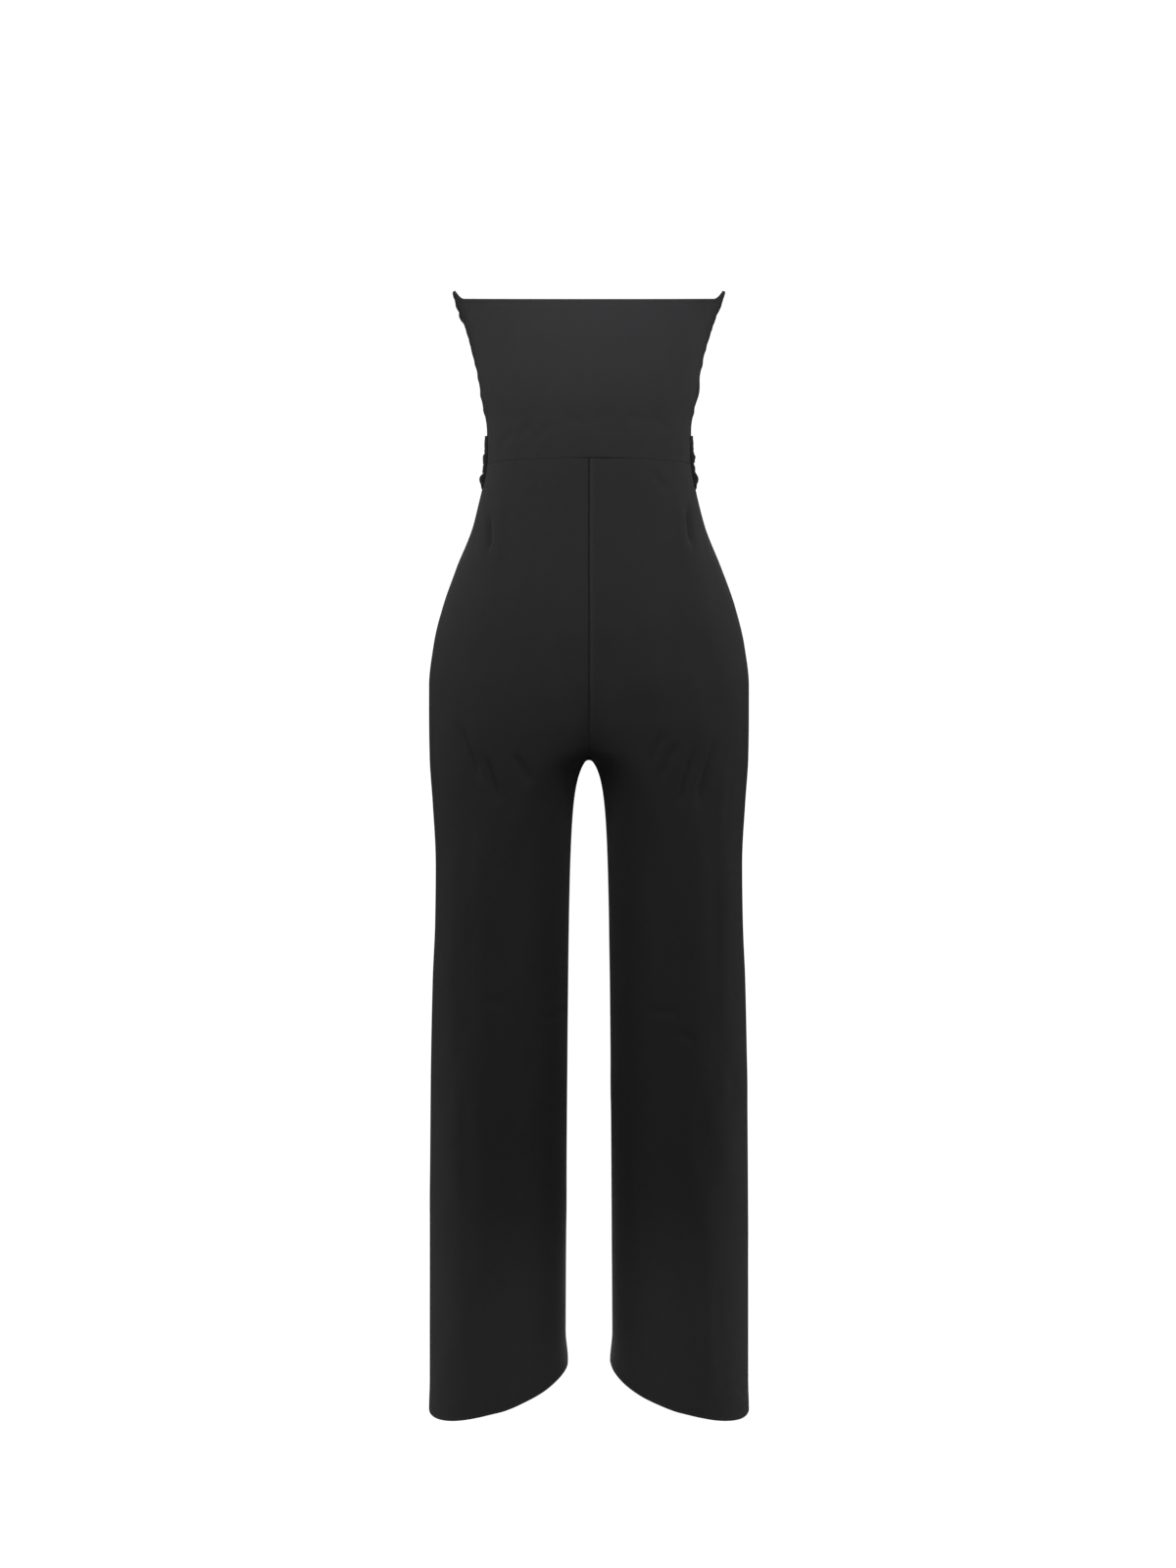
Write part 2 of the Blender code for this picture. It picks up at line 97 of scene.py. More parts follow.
# %% Sizes of the form
FORM_COLUMNS = ("height", "half_width", "back", "front", "back_power", "front_power", "seam")
FORM = (
    (170, 155.5, 91, 97, 2.2, 2.3, 3),
    (159, 153.4, 92, 101, 2.2, 2.3, 3),
    (147, 150.6, 92.5, 106, 2.2, 2.35, 3),
    (132, 144.6, 93, 113, 2.2, 2.45, 3.5),
    (100, 134.4, 91, 121, 2.2, 2.5, 5),
    (67, 126.7, 86, 117, 2.2, 2.45, 6),
    (33, 121.2, 80, 103, 2.2, 2.3, 8),
    (0, 115.9, 76, 89, 2.2, 2.2, 9),
    (-30, 115.6, 78, 88.5, 2.2, 2.2, 9),
    (-50, 117.6, 81.5, 90.5, 2.2, 2.2, 9),
    (-67, 120.9, 86, 93, 2.2, 2.2, 8.5),
    (-89, 126.1, 92, 96, 2.2, 2.2, 7.5),
    (-111, 132.2, 98.5, 98.5, 2.2, 2.2, 6.5),
    (-156, 150, 111.5, 102, 2.2, 2.2, 5),
    (-200, 165.6, 122, 104, 2.2, 2.2, 4),
    (-244, 176.1, 128, 103.5, 2.2, 2.2, 4),
    (-289, 181.1, 129.5, 101.5, 2.2, 2.2, 4),
    (-333, 181, 126, 98.5, 2.2, 2.2, 4),
    (-370, 180.4, 119, 96, 2.2, 2.2, 4),
    (-422, 176.9, 108.5, 92.5, 2.2, 2.2, 4),
    (-489, 173.4, 100.5, 89.5, 2.2, 2.2, 4),
    (-556, 174.2, 95.5, 88, 2.2, 2.2, 4),
    (-622, 177, 92.5, 87, 2.2, 2.2, 4),
    (-756, 179.4, 91, 86, 2.2, 2.2, 4),
    (-900, 180.2, 91.5, 86, 2.2, 2.2, 4),
    (-1067, 180.3, 92.5, 87, 2.2, 2.2, 4),
    (-1120, 180.3, 93, 87.5, 2.2, 2.2, 4),
)
FORM_TABLE = dict(zip(FORM_COLUMNS, np.array(FORM, float)[::-1].T))
print(f"The form has {len(FORM)} sections, from {FORM[0][0]} down to {FORM[-1][0]} mm")


# %% A smooth line through the sections
def smooth_through(heights, values, z):
    """Monotone cubic through a table's rows: each row's slope is the weighted harmonic mean of the slopes
    on its two sides, or zero where they disagree, so the form never swells between two rows."""
    gaps = np.diff(heights)
    slopes = np.diff(values) / gaps
    tangents = np.concatenate([slopes[:1], np.zeros(len(slopes) - 1), slopes[-1:]])
    before, after = slopes[:-1], slopes[1:]
    same_way = before * after > 0
    weight_before, weight_after = gaps[:-1] + 2 * gaps[1:], 2 * gaps[:-1] + gaps[1:]
    inverse = weight_before[same_way] / before[same_way] + weight_after[same_way] / after[same_way]
    tangents[1:-1][same_way] = (weight_before + weight_after)[same_way] / inverse
    row = np.clip(np.searchsorted(heights, z) - 1, 0, len(gaps) - 1)
    t = (z - heights[row]) / gaps[row]
    from_low = (1 + 2 * t) * (1 - t) ** 2 * values[row] + t**2 * (3 - 2 * t) * values[row + 1]
    bends = t * (1 - t) ** 2 * tangents[row] - t**2 * (1 - t) * tangents[row + 1]
    return from_low + gaps[row] * bends


def form_column(name, z):
    return smooth_through(FORM_TABLE["height"], FORM_TABLE[name], z)


waist = 2 * form_column("half_width", np.array(0.0))
print(f"Between them it is smooth, and {waist:.0f} mm wide at the waist")

# %% [markdown]
# ## Where one piece ends and the next begins
#
# The bodice is one oval tube. Below the crotch the trousers are two, and in between the seat parts into
# them. Two separate tubes could be joined with a Boolean, but that leaves a hard crease where cloth would
# flow. So one formula moves a section's inner end out of the far half of the body, up to the middle plane
# and on to the inside of the leg, and the cloth follows it without a break. Just above the crotch the cloth
# is stretched across the cleft between the legs, so there the form is filled out, at the back and in front.

# %% Smooth changes
def smooth_step(t):
    """0 below 0, 1 above 1, and the cubic 3t^2 - 2t^3 between."""
    t = np.clip(t, 0.0, 1.0)
    return t * t * (3 - 2 * t)


def bump(distance, half_width):
    """A smooth ridge: 1 on its crest, 0 at half_width and beyond."""
    return 1 - smooth_step(np.abs(distance) / half_width)


print(f"A quarter of the way along, a smooth step has risen by {smooth_step(0.25):.0%}")

# %% Seams, hems and the parting of the legs
SEAM_GAP = 0.3  # between the two legs at the crotch
WAIST_SEAM = -40.0  # heights of the waist seam and of the crotch
CROTCH = -370.0
HEM = -1079.8  # mean height, then how far the hem sinks to the outside and to the back
HEM_TILT = 25.0
HEM_DROP = 12.0
OUTER_KICK = 0.8  # how far the last of a leg kicks outwards on its two sides
INNER_KICK = 2.8
KICK_REACH = 34.0  # how far above the hem that starts
PARTING = 130.0  # the seat parts over this height above the crotch, more and more quickly
PARTING_POWER = 1.5
LEG_MIDDLE = 101.0  # x of a leg's own middle
TURN_TOP = -180.0  # a section's middle moves there from the body's between these two heights
TURN_FOOT = -530.0
ARCH_WIDTH = 24.4  # half the gap between the legs, the depth at which half of it is open, and its slope
ARCH_DEPTH = 23.3
ARCH_SPREAD = 0.004
ARCH_TIP = 2.8  # the cloth closes the arch's narrow point down to this depth
ARCH_ROUND = 0.6  # and rounds it over about this height
ARCH_WALL = 8.0  # the higher, the closer to the inner wall that rounding stays


def hem_height(angle):
    """The hem lies in a slanting plane: mean height less a cosine for the side and a sine for the back."""
    return HEM - HEM_TILT * np.cos(np.radians(angle)) - HEM_DROP * np.sin(np.radians(angle))


def leg_edges(angle, z):
    """Outermost x, innermost x, and the x between them where a section's two rounded sides meet.

    Innermost x = half the gap between the legs, less what still reaches over into the other half of the
    body. That is the whole half width at the top of the parting, and nothing at the crotch.
    """
    outer = form_column("half_width", z)
    parted = np.clip((CROTCH + PARTING - z) / PARTING, 0, 1) ** PARTING_POWER
    below = np.maximum(CROTCH - z, 0)
    arch = SEAM_GAP / 2 + ARCH_WIDTH * below / (below + ARCH_DEPTH) + ARCH_SPREAD * below
    cos = np.cos(np.radians(angle))
    opened = np.sqrt(1 - np.exp(-np.maximum(below - ARCH_TIP, 0) / ARCH_ROUND))
    arch *= 1 - (1 - opened) * np.maximum(-cos, 0) ** ARCH_WALL
    inner = arch - outer * (1 - parted) / (1 + parted)
    middle = LEG_MIDDLE * smooth_step((TURN_TOP - z) / (TURN_TOP - TURN_FOOT))
    kick = smooth_step((hem_height(angle) + KICK_REACH - z) / KICK_REACH)
    outer = outer + OUTER_KICK * kick * np.maximum(cos, 0)
    inner = inner - INNER_KICK * kick * np.maximum(-cos, 0)
    return outer, inner, middle


leg_inside = leg_edges(np.array(180.0), np.array(CROTCH - 100))[1]
print(f"100 mm below the crotch, the legs stand {2 * leg_inside:.0f} mm apart")


# %% Sections of the body
def section(angle, z, outer, inner, middle):
    """A squarish oval: x and y are a cosine and a sine, each raised to the power 2/n, times their reach.
    Angle 0 is the side, 90 the back, 180 the inside, and a negative angle the front."""
    cos, sin = np.cos(np.radians(angle)), np.sin(np.radians(angle))
    at_back = sin >= 0
    depth = np.where(at_back, form_column("back", z), form_column("front", z))
    power = 2 / np.where(at_back, form_column("back_power", z), form_column("front_power", z))
    reach = np.where(cos >= 0, outer - middle, middle - inner)
    x = middle + reach * np.sign(cos) * np.abs(cos) ** power
    y = depth * np.sign(sin) * np.abs(sin) ** power
    return np.stack([x, y, z], axis=-1)


# How far tight cloth spans the cleft between the legs: height, share of the way to the section's full depth
SPAN = (
    (-420, 0.0),
    (-400, 0.06),
    (-385, 0.22),
    (-372, 0.5),
    (-364, 0.58),
    (-350, 0.52),
    (-335, 0.4),
    (-310, 0.2),
    (-270, 0.0),
)
SPAN_HEIGHTS, SPAN_SHARES = np.array(SPAN, float).T
SPAN_FULL = 20.0  # the share holds up to this distance from the middle
SPAN_FREE = 70.0  # and is nothing from this one on
SPAN_ROOT = 60.0  # nearer than this to the middle from back to front, the span fades too


def trouser_form(angle, z):
    """The section, spanned: near the middle and the crotch, y moves a share of its way to the full depth,
    because tight cloth bridges the cleft between the legs. The share fades to nothing at the underside."""
    points = section(angle, z, *leg_edges(angle, z))
    x, y = points[..., 0], points[..., 1]
    full_depth = np.where(y >= 0, form_column("back", z), -form_column("front", z))
    share = smooth_through(SPAN_HEIGHTS, SPAN_SHARES, np.clip(z, SPAN_HEIGHTS[0], SPAN_HEIGHTS[-1]))
    share *= smooth_step(np.abs(y) / SPAN_ROOT)
    share *= 1 - smooth_step((np.abs(x) - SPAN_FULL) / (SPAN_FREE - SPAN_FULL))
    points[..., 1] += share * (full_depth - y)
    return points


def bodice_form(angle, z):
    half_width = form_column("half_width", z)
    return section(angle, z, half_width, -half_width, np.zeros_like(z))


waist_depth = np.ptp(bodice_form(np.array([90.0, -90.0]), np.zeros(2))[:, 1])
print(f"The waist is {waist_depth:.0f} mm deep, and tight cloth spans the cleft over {len(SPAN)} heights")

# %% Normals, and the inner end of a trouser panel
STEP = 0.05  # small step for slopes, in degrees round the form and in millimetres up it


def outward(form, angle, z):
    """Unit normals: the step round the form crossed with the step up it."""
    around = form(angle + STEP, z) - form(angle - STEP, z)
    upward = form(angle, z + STEP) - form(angle, z - STEP)
    normal = np.cross(around, upward)
    return normal / np.linalg.norm(normal, axis=-1, keepdims=True)


def inner_angle(z, turn):
    """Angle where a trouser panel ends: at the middle plane above the crotch, at the inseam below it."""
    power = form_column("back_power" if turn > 0 else "front_power", z) / 2
    outer, inner, middle = leg_edges(np.full_like(z, turn * 90.0), z)
    cut_off = np.clip((middle - np.maximum(inner, 0)) / (middle - inner), 0, 1)
    return turn * np.degrees(np.arccos(-(cut_off**power)))


inner_end = inner_angle(np.array([CROTCH / 2, HEM]), 1)
print("Back panels end at", inner_end.round(), "degrees, above and below the crotch")

# %% The strapless edge and the whole length
SIDE_TOP = 159.0  # heights of the top edge at the side seam and in the middle of the back and the front
BACK_TOP = 133.2
FRONT_TOP = 165.0
CORNER_RISE = 9.0  # the sweep beside each side seam, and its reach in degrees
CORNER_SWEEP = 17.0


def top_edge(angle):
    """Height of the strapless edge: a steady drop to the middle of the back and a climb to the middle of
    the front, with a short upward sweep beside each side seam."""
    sin = np.sin(np.radians(angle))
    from_side = np.degrees(np.arcsin(np.abs(sin)))
    inward = np.abs(sin) ** (2 / form_column("back_power", np.array(SIDE_TOP)))
    seam = form_column("seam", np.array(SIDE_TOP))
    sweep = CORNER_RISE * smooth_step(1 - (from_side - seam) / CORNER_SWEEP)
    level = SIDE_TOP - CORNER_RISE
    return level + sweep + (np.where(sin >= 0, BACK_TOP, FRONT_TOP) - level) * inward


whole_length = SIDE_TOP - hem_height(np.arange(0, 90.0)).min()
print(f"From the top of a side seam to the lowest point of a hem: {whole_length:.0f} mm")

# %% [markdown]
# ## A grid of cloth
#
# A panel is a grid: columns run round the body and rows run up it. Evenly spaced rows would need to be very
# fine to show a seam's little roll, so a few rows and columns are crowded at each edge and the rest stay
# three or four millimetres apart, which is enough for soft folds. Each row is measured along the cloth, as
# a tape would lie, and its columns are laid off from the edge in millimetres.

# %% Rows and columns
EDGE_STEPS = np.array([0.0, 0.2, 0.5, 0.9, 1.4, 2.1, 3.0, 4.2, 6.0])  # places from an edge
ROW_SPACING = 4.0  # between rows elsewhere
MEASURED = 241  # points along a curve when its length is measured
ROUNDS = 12  # how often columns are moved before they are in place


def run_along(points, axis):
    """Length of the cloth from the grid's first row or column, as the sum of the steps between points."""
    steps = np.linalg.norm(np.diff(points, axis=axis), axis=-1)
    start = np.zeros_like(np.take(points[..., 0], [0], axis=axis))
    return np.concatenate([start, np.cumsum(steps, axis=axis)], axis=axis)


def laid_off(length, count):
    """Places from 0 to each length: crowded at both ends, and even between. One row for each length."""
    length = np.atleast_1d(length)[:, None]
    even = EDGE_STEPS[-1] + (length - 2 * EDGE_STEPS[-1]) * np.linspace(0, 1, count + 1)[1:-1]
    ends = EDGE_STEPS + 0 * length
    return np.concatenate([ends, even, length - ends[:, ::-1]], axis=1)


def column_angles(form, z, first, last):
    """Angles of the columns of rows that may climb or sink: from an even guess, each column is moved along
    its own row until the tape's length to it is right."""
    count = z.shape[1] - 2 * len(EDGE_STEPS) + 1
    angle = first[:, None] + (last - first)[:, None] * np.linspace(0, 1, z.shape[1])
    for _ in range(ROUNDS):
        run = run_along(form(angle, z), 1)
        places = laid_off(run[:, -1], count)
        angle = np.array([np.interp(place, length, row) for place, length, row in zip(places, run, angle)])
    return angle


print(f"Each edge has {len(EDGE_STEPS)} rows in its first {EDGE_STEPS[-1]:.0f} mm")

# %% [markdown]
# ## Creases
#
# Cloth under light tension creases in long soft lines that swell and die away, never in a hard line. A
# cloth simulation would find some creases, but not these, so they are drawn: each one is a line
# across the cloth as it is seen from straight behind or straight in front, with its own width and height.
# A negative height is a trough. The line may bow to one side, as most real creases do.

# %% Creases as lines on the cloth
CREASE_COLUMNS = ("x_top", "z_top", "x_foot", "z_foot", "half_width", "rise", "bow")


def named_rows(columns, table):
    """Each row of a table as a dictionary under its columns' names."""
    return [dict(zip(columns, row)) for row in table]


def swell(along):
    """0 at both ends of a line, where along is 0 or 1, and 1 in its middle third."""
    return smooth_step(3 * along) * smooth_step(3 * (1 - along))


def crease_height(table, points):
    """Sum over the creases of: rise x its swelling along the line x a bump across it. The line bows by the
    parabola 4t(1 - t)."""
    rise = np.zeros(points.shape[:-1])
    place = points[..., ::2]
    for crease in named_rows(CREASE_COLUMNS, table):
        top = np.array([crease["x_top"], crease["z_top"]])
        line = np.array([crease["x_foot"], crease["z_foot"]]) - top
        length = np.hypot(*line)
        along = (place - top) @ line / length**2
        across = (place - top) @ np.array([line[1], -line[0]]) / length
        across = across - crease["bow"] * 4 * np.clip(along, 0, 1) * (1 - np.clip(along, 0, 1))
        rise += crease["rise"] * swell(along) * bump(across, crease["half_width"])
    return rise


print(f"A sixth of the way along, a crease has {swell(1 / 6):.0%} of its height")

# %% Creases behind, where x is to the wearer's left
BACK_CREASES = (
    # dimples over the hips, below the waist
    (110.5, -96, 109, -148, 4.4, -4, 1),
    (99, -70, 100, -170, 10, 1.2, 0),
    (-110.5, -84, -112.5, -144, 4.4, -4, -1),
    (-100, -66, -103, -168, 10, 1.1, 0),
    (122, -104, 128, -150, 6, -0.5, 0),
    (-124, -100, -131, -156, 6, -0.6, 0),
    # small puckers along the waist seam
    (98, -26, 80, -4, 7, -1.2, 2),
    (84, -14, 60, 2, 8, -1.1, -2),
    (62, -22, 36, 0, 7, -1, 2),
    (30, 8, 6, -6, 8, -1.1, 2),
    (2, 2, -26, 16, 8, -0.9, -2),
    (-38, 12, -62, -4, 7, -0.9, 2),
    (-66, 10, -92, -14, 8, -1.1, 2),
    (74, -52, 52, -78, 8, -1.1, 3),
    (-70, -52, -92, -76, 8, -1.4, -3),
    (-104, -18, -82, -58, 6, -1.1, 2),
    (102, -20, 84, -58, 6, -1, -2),
    # drag lines under the seat, from the outer hip down towards the inner thigh
    (146, -330, 119, -404, 7.5, -3, 3),
    (134, -342, 111, -398, 9, 0.5, 2),
    (118, -362, 96, -426, 7, -3.2, 2),
    (104, -372, 88, -430, 8, 0.4, 0),
    (84, -366, 62, -404, 8, -2.2, 2),
    (150, -408, 124, -470, 9, -1, 3),
    (-142, -344, -119, -434, 7, -3, -3),
    (-131, -350, -110, -426, 8, 0.4, -2),
    (-119, -356, -98, -430, 6.5, -3, -2),
    (-98, -352, -78, -402, 8, -2, -2),
    (-150, -372, -142, -468, 9, 1, 0),
    (-84, -340, -66, -384, 8, -1.6, -2),
    # soft fullness over the hips and the seat
    (108, -50, 118, -268, 30, 2.6, 0),
    (-104, -76, -120, -266, 30, 2.6, 0),
    (-62, -180, -70, -330, 28, 2.2, 0),
    # the seat between its two halves
    (26, -226, 10, -352, 26, -0.7, 0),
    (-26, -226, -10, -352, 26, -0.7, 0),
    # long slack folds down the backs of the legs
    (136, -440, 128, -640, 12, -0.7, 2),
    (150, -450, 148, -760, 11, 0.5, -3),
    (96, -470, 88, -760, 17, -0.6, 4),
    (134, -700, 118, -1060, 16, -0.6, -5),
    (150, -720, 146, -800, 10, 0.8, 2),
    (104, -860, 98, -1090, 14, 1, 3),
    (64, -560, 56, -900, 13, -1, -3),
    (-134, -452, -138, -640, 10, -0.9, 3),
    (-118, -430, -120, -600, 13, 0.5, 0),
    (-150, -430, -148, -700, 10, 0.6, 3),
    (-94, -500, -90, -800, 17, -0.6, -4),
    (-148, -700, -150, -760, 11, 1, 0),
    (-122, -650, -112, -1000, 16, -0.7, 5),
    (-52, -800, -56, -940, 8, 1.2, -2),
    (-68, -780, -70, -960, 9, -0.9, 0),
    (-134, -900, -138, -1090, 12, 1, -3),
    # short cross creases behind the knees
    (-62, -651, -102, -655, 6, -1.6, 2),
    (-96, -672, -120, -688, 6.5, -1.4, 2),
    (24, -650, 52, -662, 6, -1.3, 2),
    (88, -646, 122, -640, 8, -0.9, -3),
)

print(len(BACK_CREASES), "creases behind")

# %% Creases in front, of the same kinds, as soft stretch cloth usually lies there
FRONT_CREASES = (
    # drag lines from the crotch up and out over the thighs
    (96, -300, 26, -366, 10, -2, 6),
    (88, -340, 22, -384, 8, -1.6, 5),
    (116, -330, 52, -398, 9, 1.2, 5),
    (-90, -306, -24, -366, 10, -1.9, -6),
    (-94, -352, -24, -388, 8, -1.7, -4),
    (-120, -326, -56, -402, 9, 1.1, -5),
    (40, -250, 12, -340, 16, -1, 3),
    (-44, -240, -12, -338, 16, -1, -3),
    # small puckers under the sash
    (78, -84, 62, -112, 8, -0.9, 2),
    (46, -86, 38, -118, 9, -0.7, 2),
    (-40, -84, -34, -110, 8, -0.8, -2),
    (-82, -80, -72, -114, 9, -0.9, -2),
    # long folds down the fronts of the legs
    (104, -430, 101, -1070, 11, 1.4, 4),
    (132, -500, 126, -860, 13, -1.3, -4),
    (72, -470, 64, -800, 13, -1.2, 3),
    (140, -760, 134, -1080, 12, 1.2, 3),
    (70, -820, 74, -1070, 12, -1.1, -3),
    (-101, -420, -103, -1060, 11, 1.3, -4),
    (-130, -460, -124, -800, 13, -1.4, 4),
    (-70, -500, -66, -840, 12, -1.1, -3),
    (-142, -800, -136, -1080, 12, 1.1, -3),
    (-76, -840, -72, -1080, 12, -1, 3),
    # slack at the knees
    (74, -664, 130, -650, 9, -0.8, 5),
    (82, -690, 124, -684, 8, 0.6, 4),
    (-72, -656, -128, -668, 9, -0.8, 5),
    # the front bodice, between its gathers
    (96, 124, 30, 104, 9, -0.9, 4),
    (102, 96, 34, 84, 10, 0.8, -3),
    (92, 66, 26, 62, 10, -0.7, 4),
    (98, 36, 40, 40, 9, -0.8, -3),
    (-98, 120, -30, 98, 9, -0.8, -4),
    (-104, 90, -28, 80, 10, 0.8, 3),
    (-96, 58, -32, 56, 10, -0.8, -4),
    (-96, 28, -36, 34, 9, -0.7, 3),
    (20, 140, 6, 96, 12, -0.7, 2),
)
print(len(FRONT_CREASES), "creases in front")

# %% [markdown]
# ## The larger folds of the legs
#
# Under the creases lie a few broad folds. The solids have them too, a little higher at the back. They follow
# the leg round, so they are given by their angle about it instead of by their place in a view, and both legs
# carry the same ones.

# %% Broad folds
FOLD_COLUMNS = ("angle_top", "angle_foot", "top", "foot", "half_angle", "rise")
BACK_FOLDS = (
    (112, 92, -385, -640, 16, -1.4),
    (58, 66, -400, -700, 17, -0.8),
    (84, 78, -430, -1000, 16, 0.7),
    (128, 116, -560, -1100, 18, -1.5),
    (34, 46, -620, -1110, 20, -0.5),
)
FRONT_FOLDS = (
    (-118, -100, -380, -660, 15, -2),
    (-60, -68, -360, -720, 14, -1.8),
    (-88, -84, -430, -1010, 13, 2),
    (-126, -116, -600, -1090, 16, -1.7),
    (-40, -44, -640, -1100, 14, -1.5),
)


def fold_height(table, angle, z):
    """Sum over the folds of: rise x its swelling down the fold x a bump in angle about its line."""
    rise = np.zeros_like(z)
    for fold in named_rows(FOLD_COLUMNS, table):
        down = (fold["top"] - z) / (fold["top"] - fold["foot"])
        line = fold["angle_top"] + (fold["angle_foot"] - fold["angle_top"]) * down
        rise += fold["rise"] * swell(down) * bump(angle - line, fold["half_angle"])
    return rise


print(f"{len(BACK_FOLDS) + len(FRONT_FOLDS)} broad folds on each leg")

# %% Slow waves that keep a long panel from looking ironed
WAVE_COLUMNS = ("wide", "long", "high", "shift")
WAVES = (
    (74.0, 210.0, 0.28, 0.4),
    (-51.0, 133.0, 0.22, 1.9),
    (38.0, -171.0, 0.16, 3.1),
    (-29.0, -88.0, 0.10, 5.2),
)


def unevenness(points):
    """Sum of slow sine waves that run slantwise across the cloth, a few tenths of a millimetre high."""
    x, z = points[..., 0], points[..., 2]
    waves = named_rows(WAVE_COLUMNS, WAVES)
    turns = [x / wave["wide"] + z / wave["long"] for wave in waves]
    return sum(wave["high"] * np.sin(2 * np.pi * turn + wave["shift"]) for wave, turn in zip(waves, turns))


print(f"{len(WAVES)} waves, {sum(wave[2] for wave in WAVES):.2f} mm high at most where they meet")

# %% [markdown]
# ## From a grid to a shell of cloth
#
# Real cloth has two faces and an edge. A single surface with a Solidify modifier has them too, but its rim
# is square and every edge is alike. Here both faces are worked out from the same grid: at a seam the cloth
# rolls inwards to its neighbour, and at the hem and the top edge it is turned under, so the shell is double
# there. The two faces share their border points, which closes the shell with a rounded edge.

# %% Offsets near an edge
CLOTH = 1.2  # thickness of one layer
TURNED = 0.9  # what the turned-under layer adds
TURNED_STEP = 1.5  # over this distance the layer thins out
HEM_TURN = 22.0  # how far the turned layer reaches from a hem, and from the top edge
TOP_TURN = 14.0
FAR = 999.0  # a distance beyond every edge
SIDE_ROLL = 0.8  # how deep the cloth rolls in at a side seam or an inseam
CENTRE_ROLL = 2.2  # at a centre seam, which is pulled tight
WAIST_ROLL = 0.3  # at the waist seam, which is nearly flat
WAIST_ROLL_MIDDLE = 1.35  # but for its middle, where four corners of cloth meet
WAIST_MIDDLE = -11.0  # where that middle is, and how far its deeper roll reaches
WAIST_MIDDLE_REACH = 40.0
SEAM_REACH = 1.8  # how far from a seam its roll starts
SEWN_SHARE = 0.2  # at a seam the faces meet this far down the thickness, at a turned edge halfway
DITCH_DEPTHS = (0.45, 1.5)  # a seam's roll starts to get painted shade at the first depth, and has the most at the second
WEAR_AND_HIGHLIGHT_REACH = 3.0  # how far from a turned edge the band of paler wear with a painted highlight reaches
WEAR_AND_HIGHLIGHT_SHARE = 0.6  # and how much of it there is
LIP = 0.7  # the width of the painted shade along a turned edge's lip, and how dark it is
LIP_SHADE = 0.6


def rounding(distance, thickness):
    """How far a face draws in near an edge: a quarter circle whose radius is half the thickness."""
    radius = thickness / 2
    short = np.clip(radius - distance, 0, radius)
    return radius - np.sqrt(radius**2 - short**2)


def roll(distance, depth):
    """Depth of a seam's roll: deepest at the seam, and level again at SEAM_REACH, like a squared ramp."""
    return depth * np.clip(1 - distance / SEAM_REACH, 0, 1) ** 2


def waist_roll(base):
    middle = bump(base[..., 0] - WAIST_MIDDLE, WAIST_MIDDLE_REACH)
    return WAIST_ROLL + (WAIST_ROLL_MIDDLE - WAIST_ROLL) * middle


print(f"The cloth is {CLOTH} mm thick, and {CLOTH + TURNED:.1f} mm where it is turned under")


# %% A closed mesh from two faces
def turned_over(faces):
    return faces[:, [0, 3, 2, 1]]


def shell_mesh(name, outer, inner, cloth_map, attributes, mirrored):
    """One closed mesh. Outer grid points are numbered row by row; inner ones follow, but on the border
    they are the outer ones. cloth_map gives each point its place on the flat cloth, in metres."""
    rows, columns = outer.shape[:2]
    index = np.arange(rows * columns).reshape(rows, columns)
    inside = index.copy()
    inside[1:-1, 1:-1] = rows * columns + np.arange((rows - 2) * (columns - 2)).reshape(rows - 2, columns - 2)

    def sheet(grid):
        return np.stack([grid[:-1, :-1], grid[:-1, 1:], grid[1:, 1:], grid[1:, :-1]], -1).reshape(-1, 4)

    faces = np.concatenate([sheet(index), turned_over(sheet(inside))])
    inner_only = (slice(1, -1), slice(1, -1))
    points = np.concatenate([outer.reshape(-1, 3), inner[inner_only].reshape(-1, 3)]) * METRES
    if mirrored:
        faces = turned_over(faces)
    mesh = bpy.data.meshes.new(name)
    mesh.vertices.add(len(points))
    mesh.vertices.foreach_set("co", points.ravel())
    mesh.loops.add(faces.size)
    mesh.loops.foreach_set("vertex_index", faces.ravel())
    mesh.polygons.add(len(faces))
    mesh.polygons.foreach_set("loop_start", np.arange(0, faces.size, 4))
    mesh.polygons.foreach_set("material_index", np.repeat([0, 1], len(faces) // 2))
    mesh.polygons.foreach_set("use_smooth", np.ones(len(faces), bool))

    def for_points(grid):
        values = grid[0, 0].size
        return np.concatenate([grid.reshape(-1, values), grid[inner_only].reshape(-1, values)])

    place = for_points(cloth_map * METRES)
    layer = mesh.uv_layers.new(name="Cloth")
    layer.data.foreach_set("uv", place[faces.ravel()].astype(np.float32).ravel())
    for label, grid in attributes.items():
        values = mesh.attributes.new(label, "FLOAT", "POINT")
        values.data.foreach_set("value", for_points(grid).astype(np.float32).ravel())
    mesh.update()
    mesh.validate()
    return mesh


# %% A sewn piece
PANELS = {}


